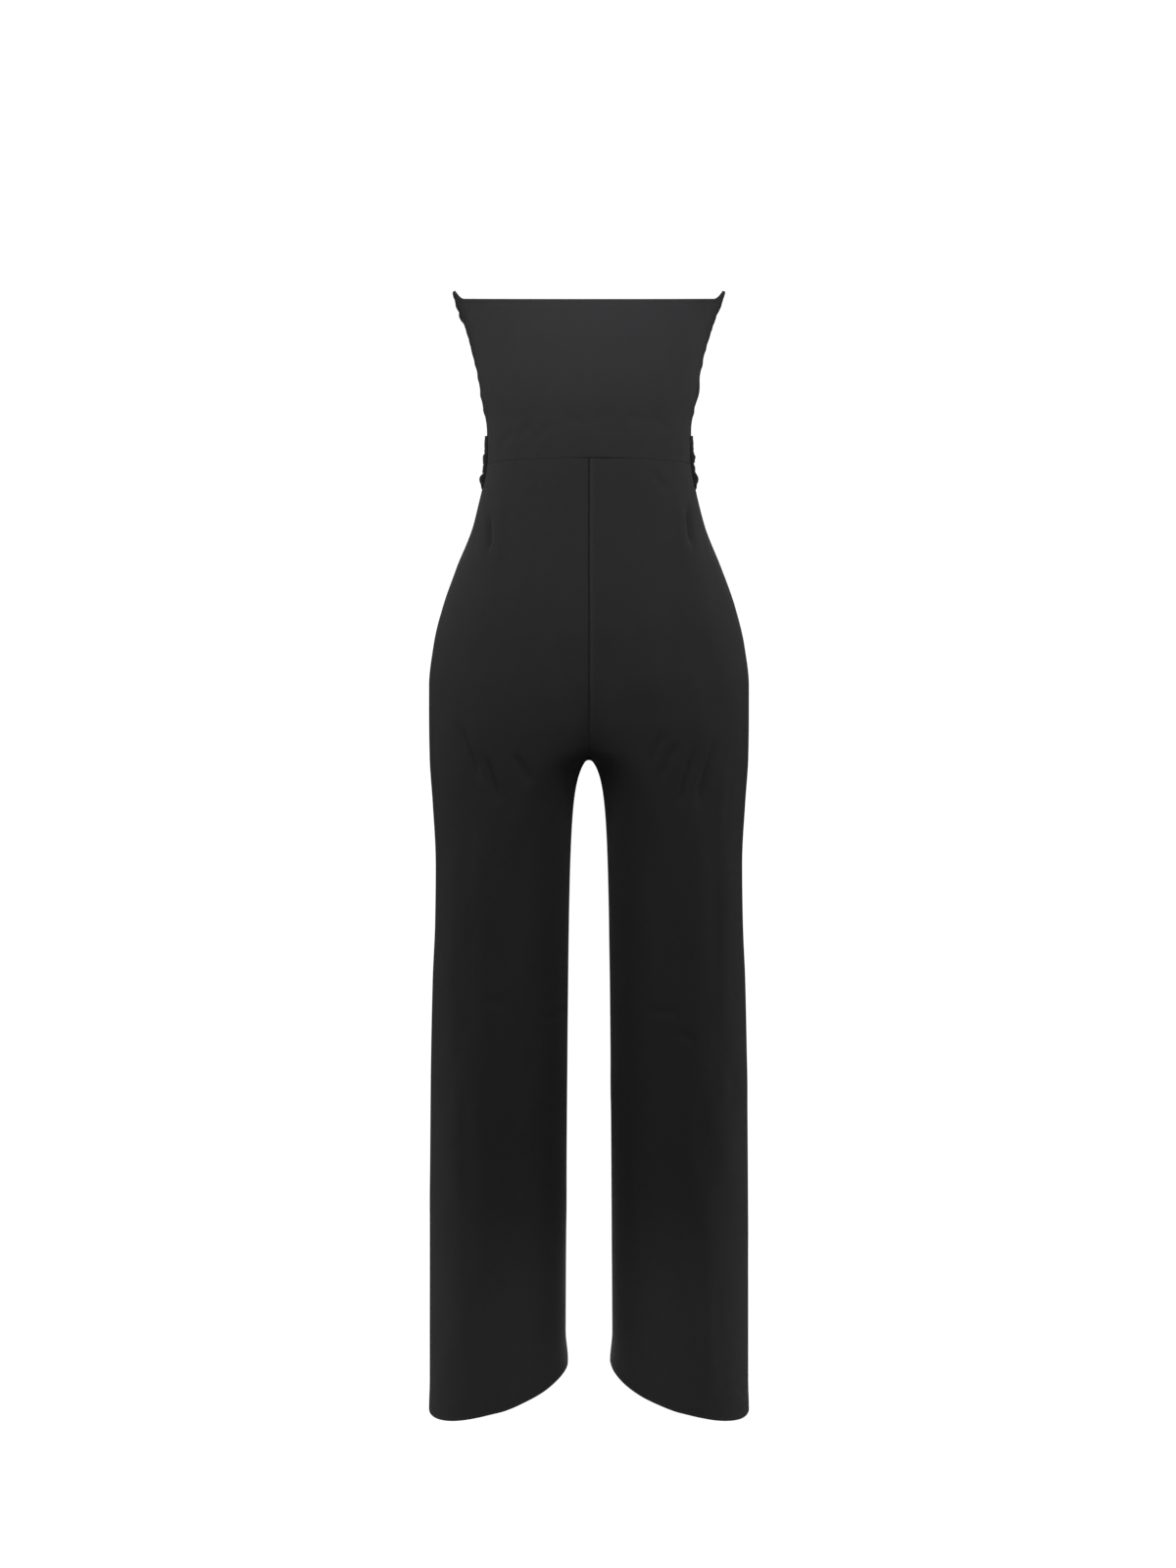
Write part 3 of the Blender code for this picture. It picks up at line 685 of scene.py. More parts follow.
def add_panel(
    name, base, normal, rise, seams, turned, worn_and_highlit=0.0, pressed=0.0, packed=-FAR, mirrored=False
):
    """A sewn piece. base and normal give the cloth's face and its direction, rise what folds add to it.
    seams lists each sewn edge's distance with the depth of its roll, turned each turned edge's distance
    with its reach. worn_and_highlit says where the cloth is worn paler with a painted highlight, and pressed
    where shade is painted into deep creases, from 0 to 1, and packed is how far below the cloth's face the
    folds under it reach: -FAR where there are none."""
    thickness = np.full(rise.shape, CLOTH)
    edge = np.min([distance for distance, _ in seams], axis=0)
    rolled = np.max([roll(distance, depth) for distance, depth in seams], axis=0)
    for distance, reach in turned:
        thickness += TURNED * (1 - smooth_step((distance - reach) / TURNED_STEP))
        edge = np.minimum(edge, distance)
    thickness = np.minimum(thickness, CLOTH + TURNED)
    turned_edge = np.min([distance for distance, _ in turned], axis=0)
    level = rise - rolled
    drawn_in = 2 * rounding(edge, thickness)
    share = SEWN_SHARE + (0.5 - SEWN_SHARE) * (1 - smooth_step(turned_edge / WEAR_AND_HIGHLIGHT_REACH))
    outer = base + (level - share * drawn_in)[..., None] * normal
    inner = base + np.minimum(level - thickness + (1 - share) * drawn_in, -packed)[..., None] * normal
    cloth_map = np.stack([run_along(base, 1), run_along(base, 0)], axis=-1)
    # painted shade: the colour darkens where a seam's roll is deep
    dark_from, darkest = DITCH_DEPTHS
    painted_shade = smooth_step((rolled - dark_from) / (darkest - dark_from))
    # painted shade along the lip of a turned edge
    shaded_lip = LIP_SHADE * (1 - smooth_step((turned_edge - LIP / 2) / LIP))
    # paler wear with a painted highlight, in a band just inside a turned edge's lip
    near_turn = bump(turned_edge - LIP - WEAR_AND_HIGHLIGHT_REACH / 2, WEAR_AND_HIGHLIGHT_REACH / 2)
    # the mesh's painted shade, in seam rolls, along lips and in deep creases, and its paler wear with a
    # painted highlight
    attributes = {
        "painted_shade": np.maximum(np.maximum(painted_shade, shaded_lip), pressed),
        "wear_and_highlight": np.maximum(WEAR_AND_HIGHLIGHT_SHARE * near_turn, worn_and_highlit),
    }
    mesh = shell_mesh(name, outer, inner, cloth_map, attributes, mirrored)
    piece = into_scene(name, mesh)
    side_one, side_two = base[1:] - base[:-1], base[:, 1:] - base[:, :-1]
    area = np.linalg.norm(np.cross(side_two[:-1], side_one[:, :-1]), axis=-1).sum()
    PANELS[name] = {
        "piece": piece,
        "width": cloth_map[..., 0].max() * METRES,
        "length": cloth_map[..., 1].max() * METRES,
        "area": area * METRES**2,
    }
    rows, columns = rise.shape
    triangles = 2 * len(mesh.polygons)
    print(f"{name}: {rows} rows, {columns} columns, {triangles} triangles, {PANELS[name]['area']:.3f} m2")


# %% [markdown]
# ## The trouser panels
#
# Each leg has a back and a front panel, which meet at the side seam and at the inseam, and the two legs
# meet at the centre seams that run under the body to the crotch. Near the crotch, level rows would leave
# wide gaps along the centre seam, because it runs almost level there. So the rows fan out: their inner ends
# are spaced evenly along the seam and their outer ends evenly down the side.

# %% Rows of a trouser panel
CROTCH_ROWS_TOP = -250.0  # at the side seam, the rows that fan out lie between these heights
CROTCH_ROWS_FOOT = -480.0
CROTCH_ROWS_ABOVE = 46  # how many of them end on the centre seam, and how many on the inseam
CROTCH_ROWS_BELOW = 34
LEG_COLUMNS = 113
HEM_BLEND = 380.0  # rows turn from level to the hem's slant over this height
HEM_OVERLAP = 2.0  # the even rows may go on this far into the crowded ones at the hem
ARCH_STEPS = np.array([1.4, 2.3, 2.7, 2.85, 3.0, 3.3, 3.8, 4.6, 5.8, 7.6, 10.2])  # depths at the arch's tip
HEM_TURN_STEPS = np.array([2.2, 1.2, 0.4, -0.6])  # heights at the end of a hem's turned layer


def seam_heights(turn):
    """Heights that lie evenly along the centre seam, from the tape's length along it. The cube has it
    measured more finely towards the crotch, where it runs almost level."""
    fine = CROTCH + (CROTCH_ROWS_TOP - CROTCH) * np.linspace(1, 0, MEASURED) ** 3
    run = run_along(trouser_form(inner_angle(fine, turn), fine), 0)
    return np.interp(np.linspace(0, run[-1], CROTCH_ROWS_ABOVE + 1), run, fine)


def leg_heights(turn, columns):
    """Height of every grid point, before the hem's slant. Rows climb, level but for those at the crotch."""
    upper = WAIST_SEAM - EDGE_STEPS
    upper = np.concatenate([upper, np.arange(upper[-1] - ROW_SPACING, CROTCH_ROWS_TOP + 1, -ROW_SPACING)])
    hem = HEM + EDGE_STEPS[::-1]
    turn_step = HEM + HEM_TURN + HEM_TURN_STEPS
    lower = np.arange(CROTCH_ROWS_FOOT - ROW_SPACING, hem[0] - HEM_OVERLAP, -ROW_SPACING)
    lower = np.sort(np.concatenate([lower, turn_step, hem]))[::-1]
    rows = CROTCH_ROWS_ABOVE + CROTCH_ROWS_BELOW
    outside = np.linspace(CROTCH_ROWS_TOP, CROTCH_ROWS_FOOT, rows + 1)
    others = CROTCH_ROWS_BELOW - len(ARCH_STEPS)
    even = np.linspace(-ARCH_STEPS[-1], CROTCH_ROWS_FOOT - CROTCH, others + 1)[1:]
    inseam = CROTCH + np.concatenate([-ARCH_STEPS, even])
    inside = np.concatenate([seam_heights(turn), inseam])
    inward = smooth_step(np.linspace(0, 1, columns))
    crotch = outside[:, None] + (inside - outside)[:, None] * inward
    level = [np.repeat(part[:, None], columns, axis=1) for part in (upper, lower)]
    return np.concatenate([level[0], crotch, level[1]])[::-1]


def leg_grid(turn):
    """Angles and heights of a left panel. Its columns run from the side seam to the middle of the body."""
    z = leg_heights(turn, LEG_COLUMNS)
    angle = column_angles(trouser_form, z, form_column("seam", z[:, 0]), inner_angle(z[:, -1], turn))
    z = z + smooth_step((HEM + HEM_BLEND - z) / HEM_BLEND) * (hem_height(angle) - HEM)
    return angle, z


print(f"{CROTCH_ROWS_ABOVE + CROTCH_ROWS_BELOW} rows fan out round the crotch")

# %% [markdown]
# ## Seams under the body
#
# The left and the right legs meet in the middle plane. Near that seam the cloth may roll up or down but not
# sideways, or the two pieces would part and show a slit. So the direction in which the cloth is moved is
# turned into the plane there.

# %% Direction of the cloth near the middle plane
PLANE_REACH = 5.0  # nearer than this to the middle plane, cloth is moved less and less sideways
SMALLEST = 1e-6  # a direction shorter than this is no direction


def into_plane(normal, from_plane):
    """Normals that lose their sideways part towards the middle plane, and are made unit length again. One
    that points wholly sideways in the plane itself becomes zero, so its point stays where it is."""
    lean = normal.copy()
    lean[..., 0] *= smooth_step(from_plane / PLANE_REACH)
    return lean / np.maximum(np.linalg.norm(lean, axis=-1, keepdims=True), SMALLEST)


slanting = np.array([0.6, 0.8, 0.0])
print("A slanting direction in the plane itself becomes", into_plane(slanting, 0.0))

# %% Painted shade in deep creases, and seam allowances
PRESSED = 0.6  # height of the seam allowances, pressed to the wearer's right under the cloth
PRESSED_STEP = 1.6  # over this distance the cloth climbs onto them
PRESSED_WIDTH = 9.0  # here it starts to come down
PRESSED_FADE = 3.0  # over this distance
PRESSED_WEAR_AND_HIGHLIGHT = 1.0  # how much paler wear and painted highlight the cloth gets where it bends up over them
WEAR_AND_HIGHLIGHT_PLACE = 2.8  # the middle of that paler strip, and its half width
WEAR_AND_HIGHLIGHT_HALF_WIDTH = 2.2
CREASE_DEPTHS = (1.2, 4.4)  # in a crease, painted shade starts at the first depth, and is full at the second
CREASE_SHADE = 0.45


def painted_crease_shade(creases, points):
    """How much shade is painted into the deep creases, from none at the first of CREASE_DEPTHS on."""
    shallow, deep = CREASE_DEPTHS
    rise_column = CREASE_COLUMNS.index("rise")
    depth = -crease_height([row for row in creases if row[rise_column] < -shallow], points)
    return CREASE_SHADE * smooth_step((depth - shallow) / (deep - shallow))


def allowances(from_middle, tight):
    """How far the seam allowances lift the cloth, and how much paler wear and painted highlight it gets where
    it bends up over them.
    """
    pressed = smooth_step(from_middle / PRESSED_STEP)
    pressed *= 1 - smooth_step((from_middle - PRESSED_WIDTH) / PRESSED_FADE)
    return PRESSED * pressed * tight, PRESSED_WEAR_AND_HIGHLIGHT * tight * bump(from_middle - WEAR_AND_HIGHLIGHT_PLACE, WEAR_AND_HIGHLIGHT_HALF_WIDTH)


lifted = allowances(PRESSED_WIDTH / 2, 1.0)[0]
print(f"Halfway over the allowances, the cloth is lifted by {lifted:.1f} mm")

# %% Trouser panels
CALM = 14.0  # folds die away this near a sewn edge
INSEAM_BLEND = 24.0  # a centre seam turns into an inseam over this height
SLACK_TOP = 4.0  # up to this height above the crotch the centre seam is slack
SLACK_BLEND = 14.0  # and over this height more it is drawn tight
LEAST_SINE = 0.05  # floor under a squared sine, so that no distance from the plane grows without end


def add_leg_panel(name, at_back, at_left):
    """A trouser panel: form, folds and creases, with its distances to the seams measured on the cloth. The
    run from the middle plane is |x| over the sine of the angle between the normal and the x axis."""
    angle, z = leg_grid(1 if at_back else -1)
    base = trouser_form(angle, z)
    normal = outward(trouser_form, angle, z)
    across, along = run_along(base, 1), run_along(base, 0)
    from_plane = np.abs(base[..., 0]) / np.sqrt(np.clip(1 - normal[..., 0] ** 2, LEAST_SINE, 1))
    to_end = across[:, -1:] - across
    from_middle = np.minimum(from_plane, to_end)
    inseam = smooth_step((CROTCH + INSEAM_BLEND / 2 - base[:, -1:, 2]) / INSEAM_BLEND)
    tight = smooth_step((base[..., 2] - CROTCH - SLACK_TOP) / SLACK_BLEND)
    middle_roll = CENTRE_ROLL * tight + SIDE_ROLL * smooth_step((CROTCH - base[:, -1:, 2]) / INSEAM_BLEND)
    normal = into_plane(normal, from_plane)
    if not at_left:
        base, normal = base * [-1, 1, 1], normal * [-1, 1, 1]
    creases = BACK_CREASES if at_back else FRONT_CREASES
    broad = fold_height(BACK_FOLDS if at_back else FRONT_FOLDS, angle, z)
    rise = broad + crease_height(creases, base) + unevenness(base)
    rise *= smooth_step(across / CALM) * (1 - inseam * (1 - smooth_step(to_end / CALM)))
    # painted shade in the deepest creases
    crease_shade_mask = painted_crease_shade(creases, base)
    # paler wear with a painted highlight where the cloth bends up over the allowances, on the right panels
    # only
    worn_and_highlit = np.zeros(rise.shape)
    if not at_left:
        lift, worn_and_highlit = allowances(from_middle, tight)
        rise += lift
    from_hem, from_waist = along, along[-1:] - along
    seams = [(across, SIDE_ROLL), (from_middle, middle_roll), (from_waist, waist_roll(base))]
    if not at_back:  # columns run the same way round the body on every panel
        base, normal, rise, from_hem, worn_and_highlit, crease_shade_mask = (
            grid[:, ::-1] for grid in (base, normal, rise, from_hem, worn_and_highlit, crease_shade_mask)
        )
        seams = [(far[:, ::-1], np.broadcast_to(sunk, far.shape)[:, ::-1]) for far, sunk in seams]
    turned = [(from_hem, HEM_TURN)]
    add_panel(name, base, normal, rise, seams, turned, worn_and_highlit, crease_shade_mask, mirrored=not at_left)


for side, at_left in (("left", True), ("right", False)):
    add_leg_panel(f"{side}_back_leg", True, at_left)
    add_leg_panel(f"{side}_front_leg", False, at_left)

# %% [markdown]
# ## The bodice
#
# The back is a plain piece that the body stretches smooth. The front is cut longer and gathered into the
# side seams, so little ridges start at each seam and run out over the bust. They could be simulated, but
# where each one starts and dies is what gives the gathering its look, so they are given one by one.

# %% Gathers
GATHER_COLUMNS = ("side", "height", "half_height", "rise", "reach", "drift")
GATHERS = (
    (1, 154, 8, 2.2, 46, -6),
    (1, 142, 8, 2.6, 62, -9),
    (1, 131, 7.5, 3.6, 74, -8),
    (1, 112, 12, 1.1, 58, -2),
    (1, 90, 14, 0.8, 66, 8),
    (-1, 155, 9, 1.6, 52, -8),
    (-1, 141, 10, 1.5, 66, -9),
    (-1, 126, 11, 1, 60, -5),
    (-1, 106, 13, 0.9, 70, 1),
    (-1, 44, 19, 2.4, 58, 6),
)
# Finer tucks between them, which lie too close together for the solids
TUCKS = (
    (1, 148, 3.2, 0.7, 34, -6),
    (1, 121, 4.5, 0.9, 52, -5),
    (1, 101, 5, 0.7, 44, 2),
    (1, 76, 6, 0.8, 60, 7),
    (1, 60, 6, 0.7, 48, 6),
    (1, 40, 6.5, 0.9, 56, 4),
    (1, 22, 6, 0.8, 44, 2),
    (-1, 148, 3.2, 0.6, 36, -6),
    (-1, 116, 4.5, 0.8, 50, -3),
    (-1, 92, 5.5, 0.7, 58, 4),
    (-1, 74, 6, 0.9, 52, 6),
    (-1, 20, 6, 0.8, 46, 1),
)


def gather_height(table, angle, point):
    """Sum over the gathers of: rise, falling away along the reach x a bump in height about the crest,
    which drifts up or down as it leaves the seam."""
    rise, z = np.zeros(angle.shape), point[..., 2]
    half_width = form_column("half_width", z)
    for gather in named_rows(GATHER_COLUMNS, table):
        facing = -90 + gather["side"] * 90
        run = np.hypot(point[..., 0] - gather["side"] * half_width, point[..., 1])
        here = np.where(np.abs(angle - facing) < 90, np.clip(run / gather["reach"], 0, 1), 1)
        crest = gather["height"] + gather["drift"] * here
        rise += gather["rise"] * (1 - smooth_step(here)) * bump(z - crest, gather["half_height"])
    return rise


print(f"{len(GATHERS)} gathers and {len(TUCKS)} finer tucks")

# %% [markdown]
# ## The strapless edge
#
# At the top the cloth is turned in over a narrow elastic, which shows as a slim bead with a shallow line
# under it. That line is all that is seen of the stitching, so the bead is shaped and the stitch is not.

# %% Bodice panels
BACK_GRID = (93, 44)  # columns, and rows between the two crowded edges
FRONT_GRID = (121, 74)  # more of both, for the gathers
CAUGHT = 4.0  # distance from a side seam within which its stitches hold a gather flat
BEAD_RISE = 0.3  # how far the bead stands out, and how high it is
BEAD_HEIGHT = 3.8
BEAD_LINE = 0.25  # depth of the line under the bead, and its half width
BEAD_LINE_WIDTH = 1.3


def bead(from_top):
    """A low ridge whose crest is half a bead below the edge, less a narrow line at the bead's foot."""
    crest = BEAD_RISE * bump(from_top - BEAD_HEIGHT / 2, BEAD_HEIGHT / 2)
    return crest - BEAD_LINE * bump(from_top - BEAD_HEIGHT, BEAD_LINE_WIDTH)


def bodice_grid(at_back, columns, rows):
    """Angles and heights: rows spread from the level waist seam up to the curved top edge."""
    share = laid_off(SIDE_TOP - WAIST_SEAM, rows)[0] / (SIDE_TOP - WAIST_SEAM)
    level = WAIST_SEAM + share * (SIDE_TOP - WAIST_SEAM)
    seam = form_column("seam", level)
    first, last = (seam, 180 - seam) if at_back else (-180 - seam, seam)
    angle = column_angles(bodice_form, np.repeat(level[:, None], columns, axis=1), first, last)
    return angle, WAIST_SEAM + share[:, None] * (top_edge(angle) - WAIST_SEAM)


def add_bodice_panel(name, at_back):
    """A bodice panel: form, gathers, creases and bead."""
    angle, z = bodice_grid(at_back, *(BACK_GRID if at_back else FRONT_GRID))
    base, normal = bodice_form(angle, z), outward(bodice_form, angle, z)
    across, along = run_along(base, 1), run_along(base, 0)
    from_side = np.minimum(across, across[:, -1:] - across)
    from_top = along[-1:] - along
    rise = crease_height(BACK_CREASES if at_back else FRONT_CREASES, base) + unevenness(base)
    rise *= smooth_step(from_side / CALM) * smooth_step(from_top / CALM)
    if not at_back:
        gathered = gather_height(GATHERS, angle, base) + gather_height(TUCKS, angle, base)
        rise += gathered * smooth_step(from_side / CAUGHT)
    rise += bead(from_top)
    seams = [(from_side, SIDE_ROLL), (along, waist_roll(base))]
    add_panel(name, base, normal, rise, seams, [(from_top, TOP_TURN)])


add_bodice_panel("back_bodice", True)
add_bodice_panel("front_bodice", False)

# %% [markdown]
# ## The sash
#
# A band of the same cloth is caught in both side seams and draped across the front waist, where it falls in
# soft pleats. It lies on the bodice's own form, moved out, so it can never sink into it. Each pleat is a
# crest that runs from one seam to the other, and finer ones between them keep it from looking corrugated.

# %% Sash and its pleats
WALL = 1.5  # thickness of the solids' cloth
SASH_TOP_SIDE = -7.0  # heights of its two edges, at the side seams and in the middle of the front
SASH_TOP_FRONT = 8.0
SASH_FOOT_SIDE = -63.0
SASH_FOOT_FRONT = -74.0
SASH_EASE = 0.8  # how far it lies off the cloth below
SASH_TURN = 10.0  # width of its turned edges
SASH_COLUMNS = 113
SASH_ROWS = 52  # between the two crowded edges
PACKED_REACH = 7.0  # at its ends the pleats are stacked, so the sash is thick there
PACKED_GAP = 0.4  # what stays between them and the cloth below
PLEAT_COLUMNS = ("left", "middle", "right", "half_share", "rise_side", "rise_front")
PLEATS = (
    (0.16, 0.10, 0.17, 0.12, 0.5, 2.0),
    (0.47, 0.33, 0.44, 0.17, 2.4, 3.4),
    (0.62, 0.58, 0.64, 0.14, 1.6, 2.8),
    (0.86, 0.84, 0.85, 0.13, 3.6, 3.2),
)
FINE_PLEATS = (
    (0.30, 0.20, 0.26, 0.05, 0.9, 0.5),
    (0.38, 0.47, 0.40, 0.05, 0.6, 1.0),
    (0.55, 0.41, 0.52, 0.04, 0.8, 0.4),
    (0.71, 0.69, 0.75, 0.06, 1.0, 0.9),
    (0.80, 0.94, 0.78, 0.05, 0.5, 0.9),
    (0.24, 0.06, 0.34, 0.05, 0.4, 0.6),
)


def pleat_height(table, down, along, largest):
    """Each pleat's crest line runs from its place at a seam through its place in front; pleats overlap as
    the higher of two where largest is set, and are added up otherwise."""
    total = np.zeros(down.shape)
    front_share = np.cos(np.radians(90 * along))
    for pleat in named_rows(PLEAT_COLUMNS, table):
        seam_line = np.where(along > 0, pleat["left"], pleat["right"])
        line = seam_line + (pleat["middle"] - seam_line) * front_share
        height = pleat["rise_side"] + (pleat["rise_front"] - pleat["rise_side"]) * front_share
        ridge = height * bump(down - line, pleat["half_share"])
        total = np.maximum(total, ridge) if largest else total + ridge
    return total


print(f"{len(PLEATS)} pleats and {len(FINE_PLEATS)} finer ones between them")


# %% Drape the sash
def add_sash():
    level = np.array([(SASH_TOP_SIDE + SASH_FOOT_SIDE) / 2])
    seam = form_column("seam", level)
    angle = column_angles(bodice_form, np.repeat(level[:, None], SASH_COLUMNS, axis=1), -180 - seam, seam)
    along = run_along(bodice_form(angle, np.full(angle.shape, level[0])), 1)
    along = 2 * along / along[:, -1:] - 1
    front_share = np.cos(np.radians(90 * along))
    top = SASH_TOP_SIDE + (SASH_TOP_FRONT - SASH_TOP_SIDE) * front_share
    foot = SASH_FOOT_SIDE + (SASH_FOOT_FRONT - SASH_FOOT_SIDE) * front_share
    deep = SASH_TOP_FRONT - SASH_FOOT_FRONT
    down = (1 - laid_off(deep, SASH_ROWS)[0] / deep)[:, None]
    z = top + down * (foot - top)
    angle, along, down = (np.broadcast_to(grid, z.shape) for grid in (angle, along, down))
    below, normal = bodice_form(angle, z), outward(bodice_form, angle, z)
    rise = pleat_height(PLEATS, down, along, True) + pleat_height(FINE_PLEATS, down, along, False)
    base = below + (SASH_EASE + WALL) * normal
    across, up = run_along(base, 1), run_along(base, 0)
    from_side = np.minimum(across, across[:, -1:] - across)
    edges = [(up, SASH_TURN), (up[-1:] - up, SASH_TURN)]
    stacked = (SASH_EASE + WALL - PACKED_GAP) * bump(from_side, PACKED_REACH)
    packed = np.where(from_side < PACKED_REACH, stacked, -FAR)
    add_panel("front_sash", base, normal, rise, [(from_side, SIDE_ROLL)], edges, packed=packed)


add_sash()

# %% [markdown]
# ## The knit
#
# Heavy stretch knit has upright columns of small V-shaped loops on its face and rows of round loops behind.
# They are under a millimetre wide, so they are given as a pattern on the flat cloth: the Cloth map holds
# each point's place in metres, measured round and up its piece, and the loops follow the cloth wherever it
# goes. Both sides of the cloth use the pattern, so it is a node group with its own inputs.

# %% Placing nodes
def set_inputs(tree, node, inputs):
    """Fills a node's inputs, found by label or number: a socket is linked, a number or a colour is set."""
    for label, value in inputs.items():
        socket = node.inputs[label]
        if isinstance(value, bpy.types.NodeSocket):
            tree.links.new(value, socket)
        else:
            socket.default_value = (*value, 1.0) if socket.type == "RGBA" else value


def add_node(tree, kind, inputs=None, **settings):
    """A shader node of this kind with its settings and its inputs. Returns its outputs."""
    node = tree.nodes.new(f"ShaderNode{kind}")
    for setting, value in settings.items():
        setattr(node, setting, value)
    set_inputs(tree, node, inputs or {})
    return node.outputs


def new_group(name, inputs, outputs):
    """An empty node group, with a kind for each socket's label. Returns the group, the sockets that bring
    its inputs and the node that takes its outputs."""
    group = bpy.data.node_groups.new(name, "ShaderNodeTree")
    for way, sockets in (("INPUT", inputs), ("OUTPUT", outputs)):
        for label, kind in sockets.items():
            group.interface.new_socket(label, in_out=way, socket_type=f"NodeSocket{kind}")
    return group, group.nodes.new("NodeGroupInput").outputs, group.nodes.new("NodeGroupOutput")


def maths(tree, operation, *values):
    """A Math node. Each value is a number or another node's socket. Returns its output."""
    return add_node(tree, "Math", dict(enumerate(values)), operation=operation)[0]


def mixed(tree, share, first, second):
    """A Mix Color node: a share of the way from the first colour to the second."""
    return add_node(tree, "Mix", {0: share, 6: first, 7: second}, data_type="RGBA")[2]


def add_noise(tree, vector, scale, detail, roughness=0.5):
    """A Noise node at the places that vector gives. Returns its value, from 0 to 1."""
    inputs = {"Vector": vector, "Scale": scale, "Detail": detail, "Roughness": roughness}
    return add_node(tree, "TexNoise", inputs)["Fac"]


print("Nodes for numbers, colours and noise are placed and filled by one function")

# %% Node group for the loops
WANDER = 0.0007  # how far the noise shifts a loop, in metres
COLUMN_ROUND = 2.0  # the higher, the flatter a loop's middle is, across and up
ROW_ROUND = 2.5
COLUMN_SHARE = 0.6  # the columns' share of the loops' height


def from_middle_of(tree, place):
    """Distance from the middle of the loop at this place: 0 in the middle and 1 at both sides."""
    offset = maths(tree, "SUBTRACT", maths(tree, "FRACT", place), 0.5)
    return maths(tree, "MULTIPLY", maths(tree, "ABSOLUTE", offset), 2.0)


def rounded(tree, distance, power):
    """1 - distance to the power: high in the middle and low at the sides."""
    return maths(tree, "SUBTRACT", 1.0, maths(tree, "POWER", distance, power))


def make_loops():
    """Column place = across / width; each column's middle is high and its sides are low. Row place = up /
    height + lean x distance from the column's middle, which bends every row into a V."""
    group, given, result = new_group(
        "Knitted loops",
        {"Cloth": "Vector", "Width": "Float", "Height": "Float", "Lean": "Float"},
        {"Height": "Float", "Gaps": "Float"},
    )
    uneven = add_noise(group, given["Cloth"], scale=140.0, detail=1.0)
    wander = maths(group, "MULTIPLY_ADD", uneven, WANDER, -WANDER / 2)
    place = add_node(group, "SeparateXYZ", {0: given["Cloth"]})
    column = maths(group, "DIVIDE", maths(group, "ADD", place["X"], wander), given["Width"])
    row = maths(group, "DIVIDE", maths(group, "ADD", place["Y"], wander), given["Height"])
    from_middle = from_middle_of(group, column)
    row = maths(group, "ADD", row, maths(group, "MULTIPLY", from_middle, given["Lean"]))
    round_column = rounded(group, from_middle, COLUMN_ROUND)
    round_row = rounded(group, from_middle_of(group, row), ROW_ROUND)
    from_column = maths(group, "MULTIPLY", round_column, COLUMN_SHARE)
    height = maths(group, "ADD", from_column, maths(group, "MULTIPLY", round_row, 1 - COLUMN_SHARE))
    gaps = maths(group, "SUBTRACT", 1.0, maths(group, "MULTIPLY", round_column, round_row))
    set_inputs(group, result, {"Height": height, "Gaps": gaps})
    return group


LOOPS = make_loops()
print("Knitted loops: columns of V-shaped loops, 0.9 mm wide and 0.7 mm high")

# %% [markdown]
# ## Nap, wear, and painted shade and highlight along seams and edges
#
# The knit carries a short nap that catches light in faint clouds. Shade is painted into the colour where a
# seam rolls in deeply, along the lip of a turned edge and in deep creases, and where the cloth bends over an
# edge it is worn a shade paler, with a painted highlight. Where that is so was worked out with the panels,
# and each mesh carries it as two attributes, from 0 to 1.

# %% Node groups for the nap and for edges
NAP_STRETCH = 0.55  # the fuzz is this much finer across the cloth than down it
WEAR_AND_HIGHLIGHT_LEAST = 0.2  # a place of paler wear and painted highlight is this pale where no fuzz stands up
WEAR_AND_HIGHLIGHT_FUZZ = 0.6  # and this much paler where it does


def make_nap():
    """Clouds: slow noise on Object coordinates. Fuzz: fast noise, stretched a little downwards."""
    group, given, result = new_group("Soft nap", {"Place": "Vector"}, {"Clouds": "Float", "Fuzz": "Float"})
    clouds = add_noise(group, given["Place"], scale=21.0, detail=4.0, roughness=0.6)
    stretched = add_node(group, "Mapping", {"Vector": given["Place"], "Scale": (1.0, 1.0, NAP_STRETCH)})
    fuzz = add_noise(group, stretched["Vector"], scale=620.0, detail=3.0)
    set_inputs(group, result, {"Clouds": clouds, "Fuzz": fuzz})
    return group


def make_wear_and_painted_light():
    """Colour: towards Pale where worn, as paler wear with a painted highlight, by as much as the fuzz stands
    up there, then towards Dark where shade is painted."""
    colours = dict.fromkeys(("Colour", "Pale", "Dark"), "Color")
    shares = dict.fromkeys(("WearAndHighlight", "Fuzz", "PaintedShade"), "Float")
    group, given, result = new_group("Wear and painted light along seams", colours | shares, {"Colour": "Color"})
    fuzzy = maths(group, "MULTIPLY_ADD", given["Fuzz"], WEAR_AND_HIGHLIGHT_FUZZ, WEAR_AND_HIGHLIGHT_LEAST)
    wear_and_highlight = maths(group, "MULTIPLY", given["WearAndHighlight"], fuzzy)
    colour = mixed(group, wear_and_highlight, given["Colour"], given["Pale"])
    # painted shade: towards Dark as far as the mesh asks
    colour = mixed(group, given["PaintedShade"], colour, given["Dark"])
    set_inputs(group, result, {"Colour": colour})
    return group


NAP = make_nap()
WEAR_AND_PAINTED_LIGHT = make_wear_and_painted_light()
print("Soft nap and Wear and painted light along seams: two more groups, used by both sides of the cloth")

# %% [markdown]
# ## Two sides of one cloth
#
# The face and the wrong side are one cloth, so they share their groups and differ in their values: on the
# wrong side the loops lie in rows, and the cloth is a touch duller and darker. Sheen, specular level
# and the like are single numbers on the shader itself.

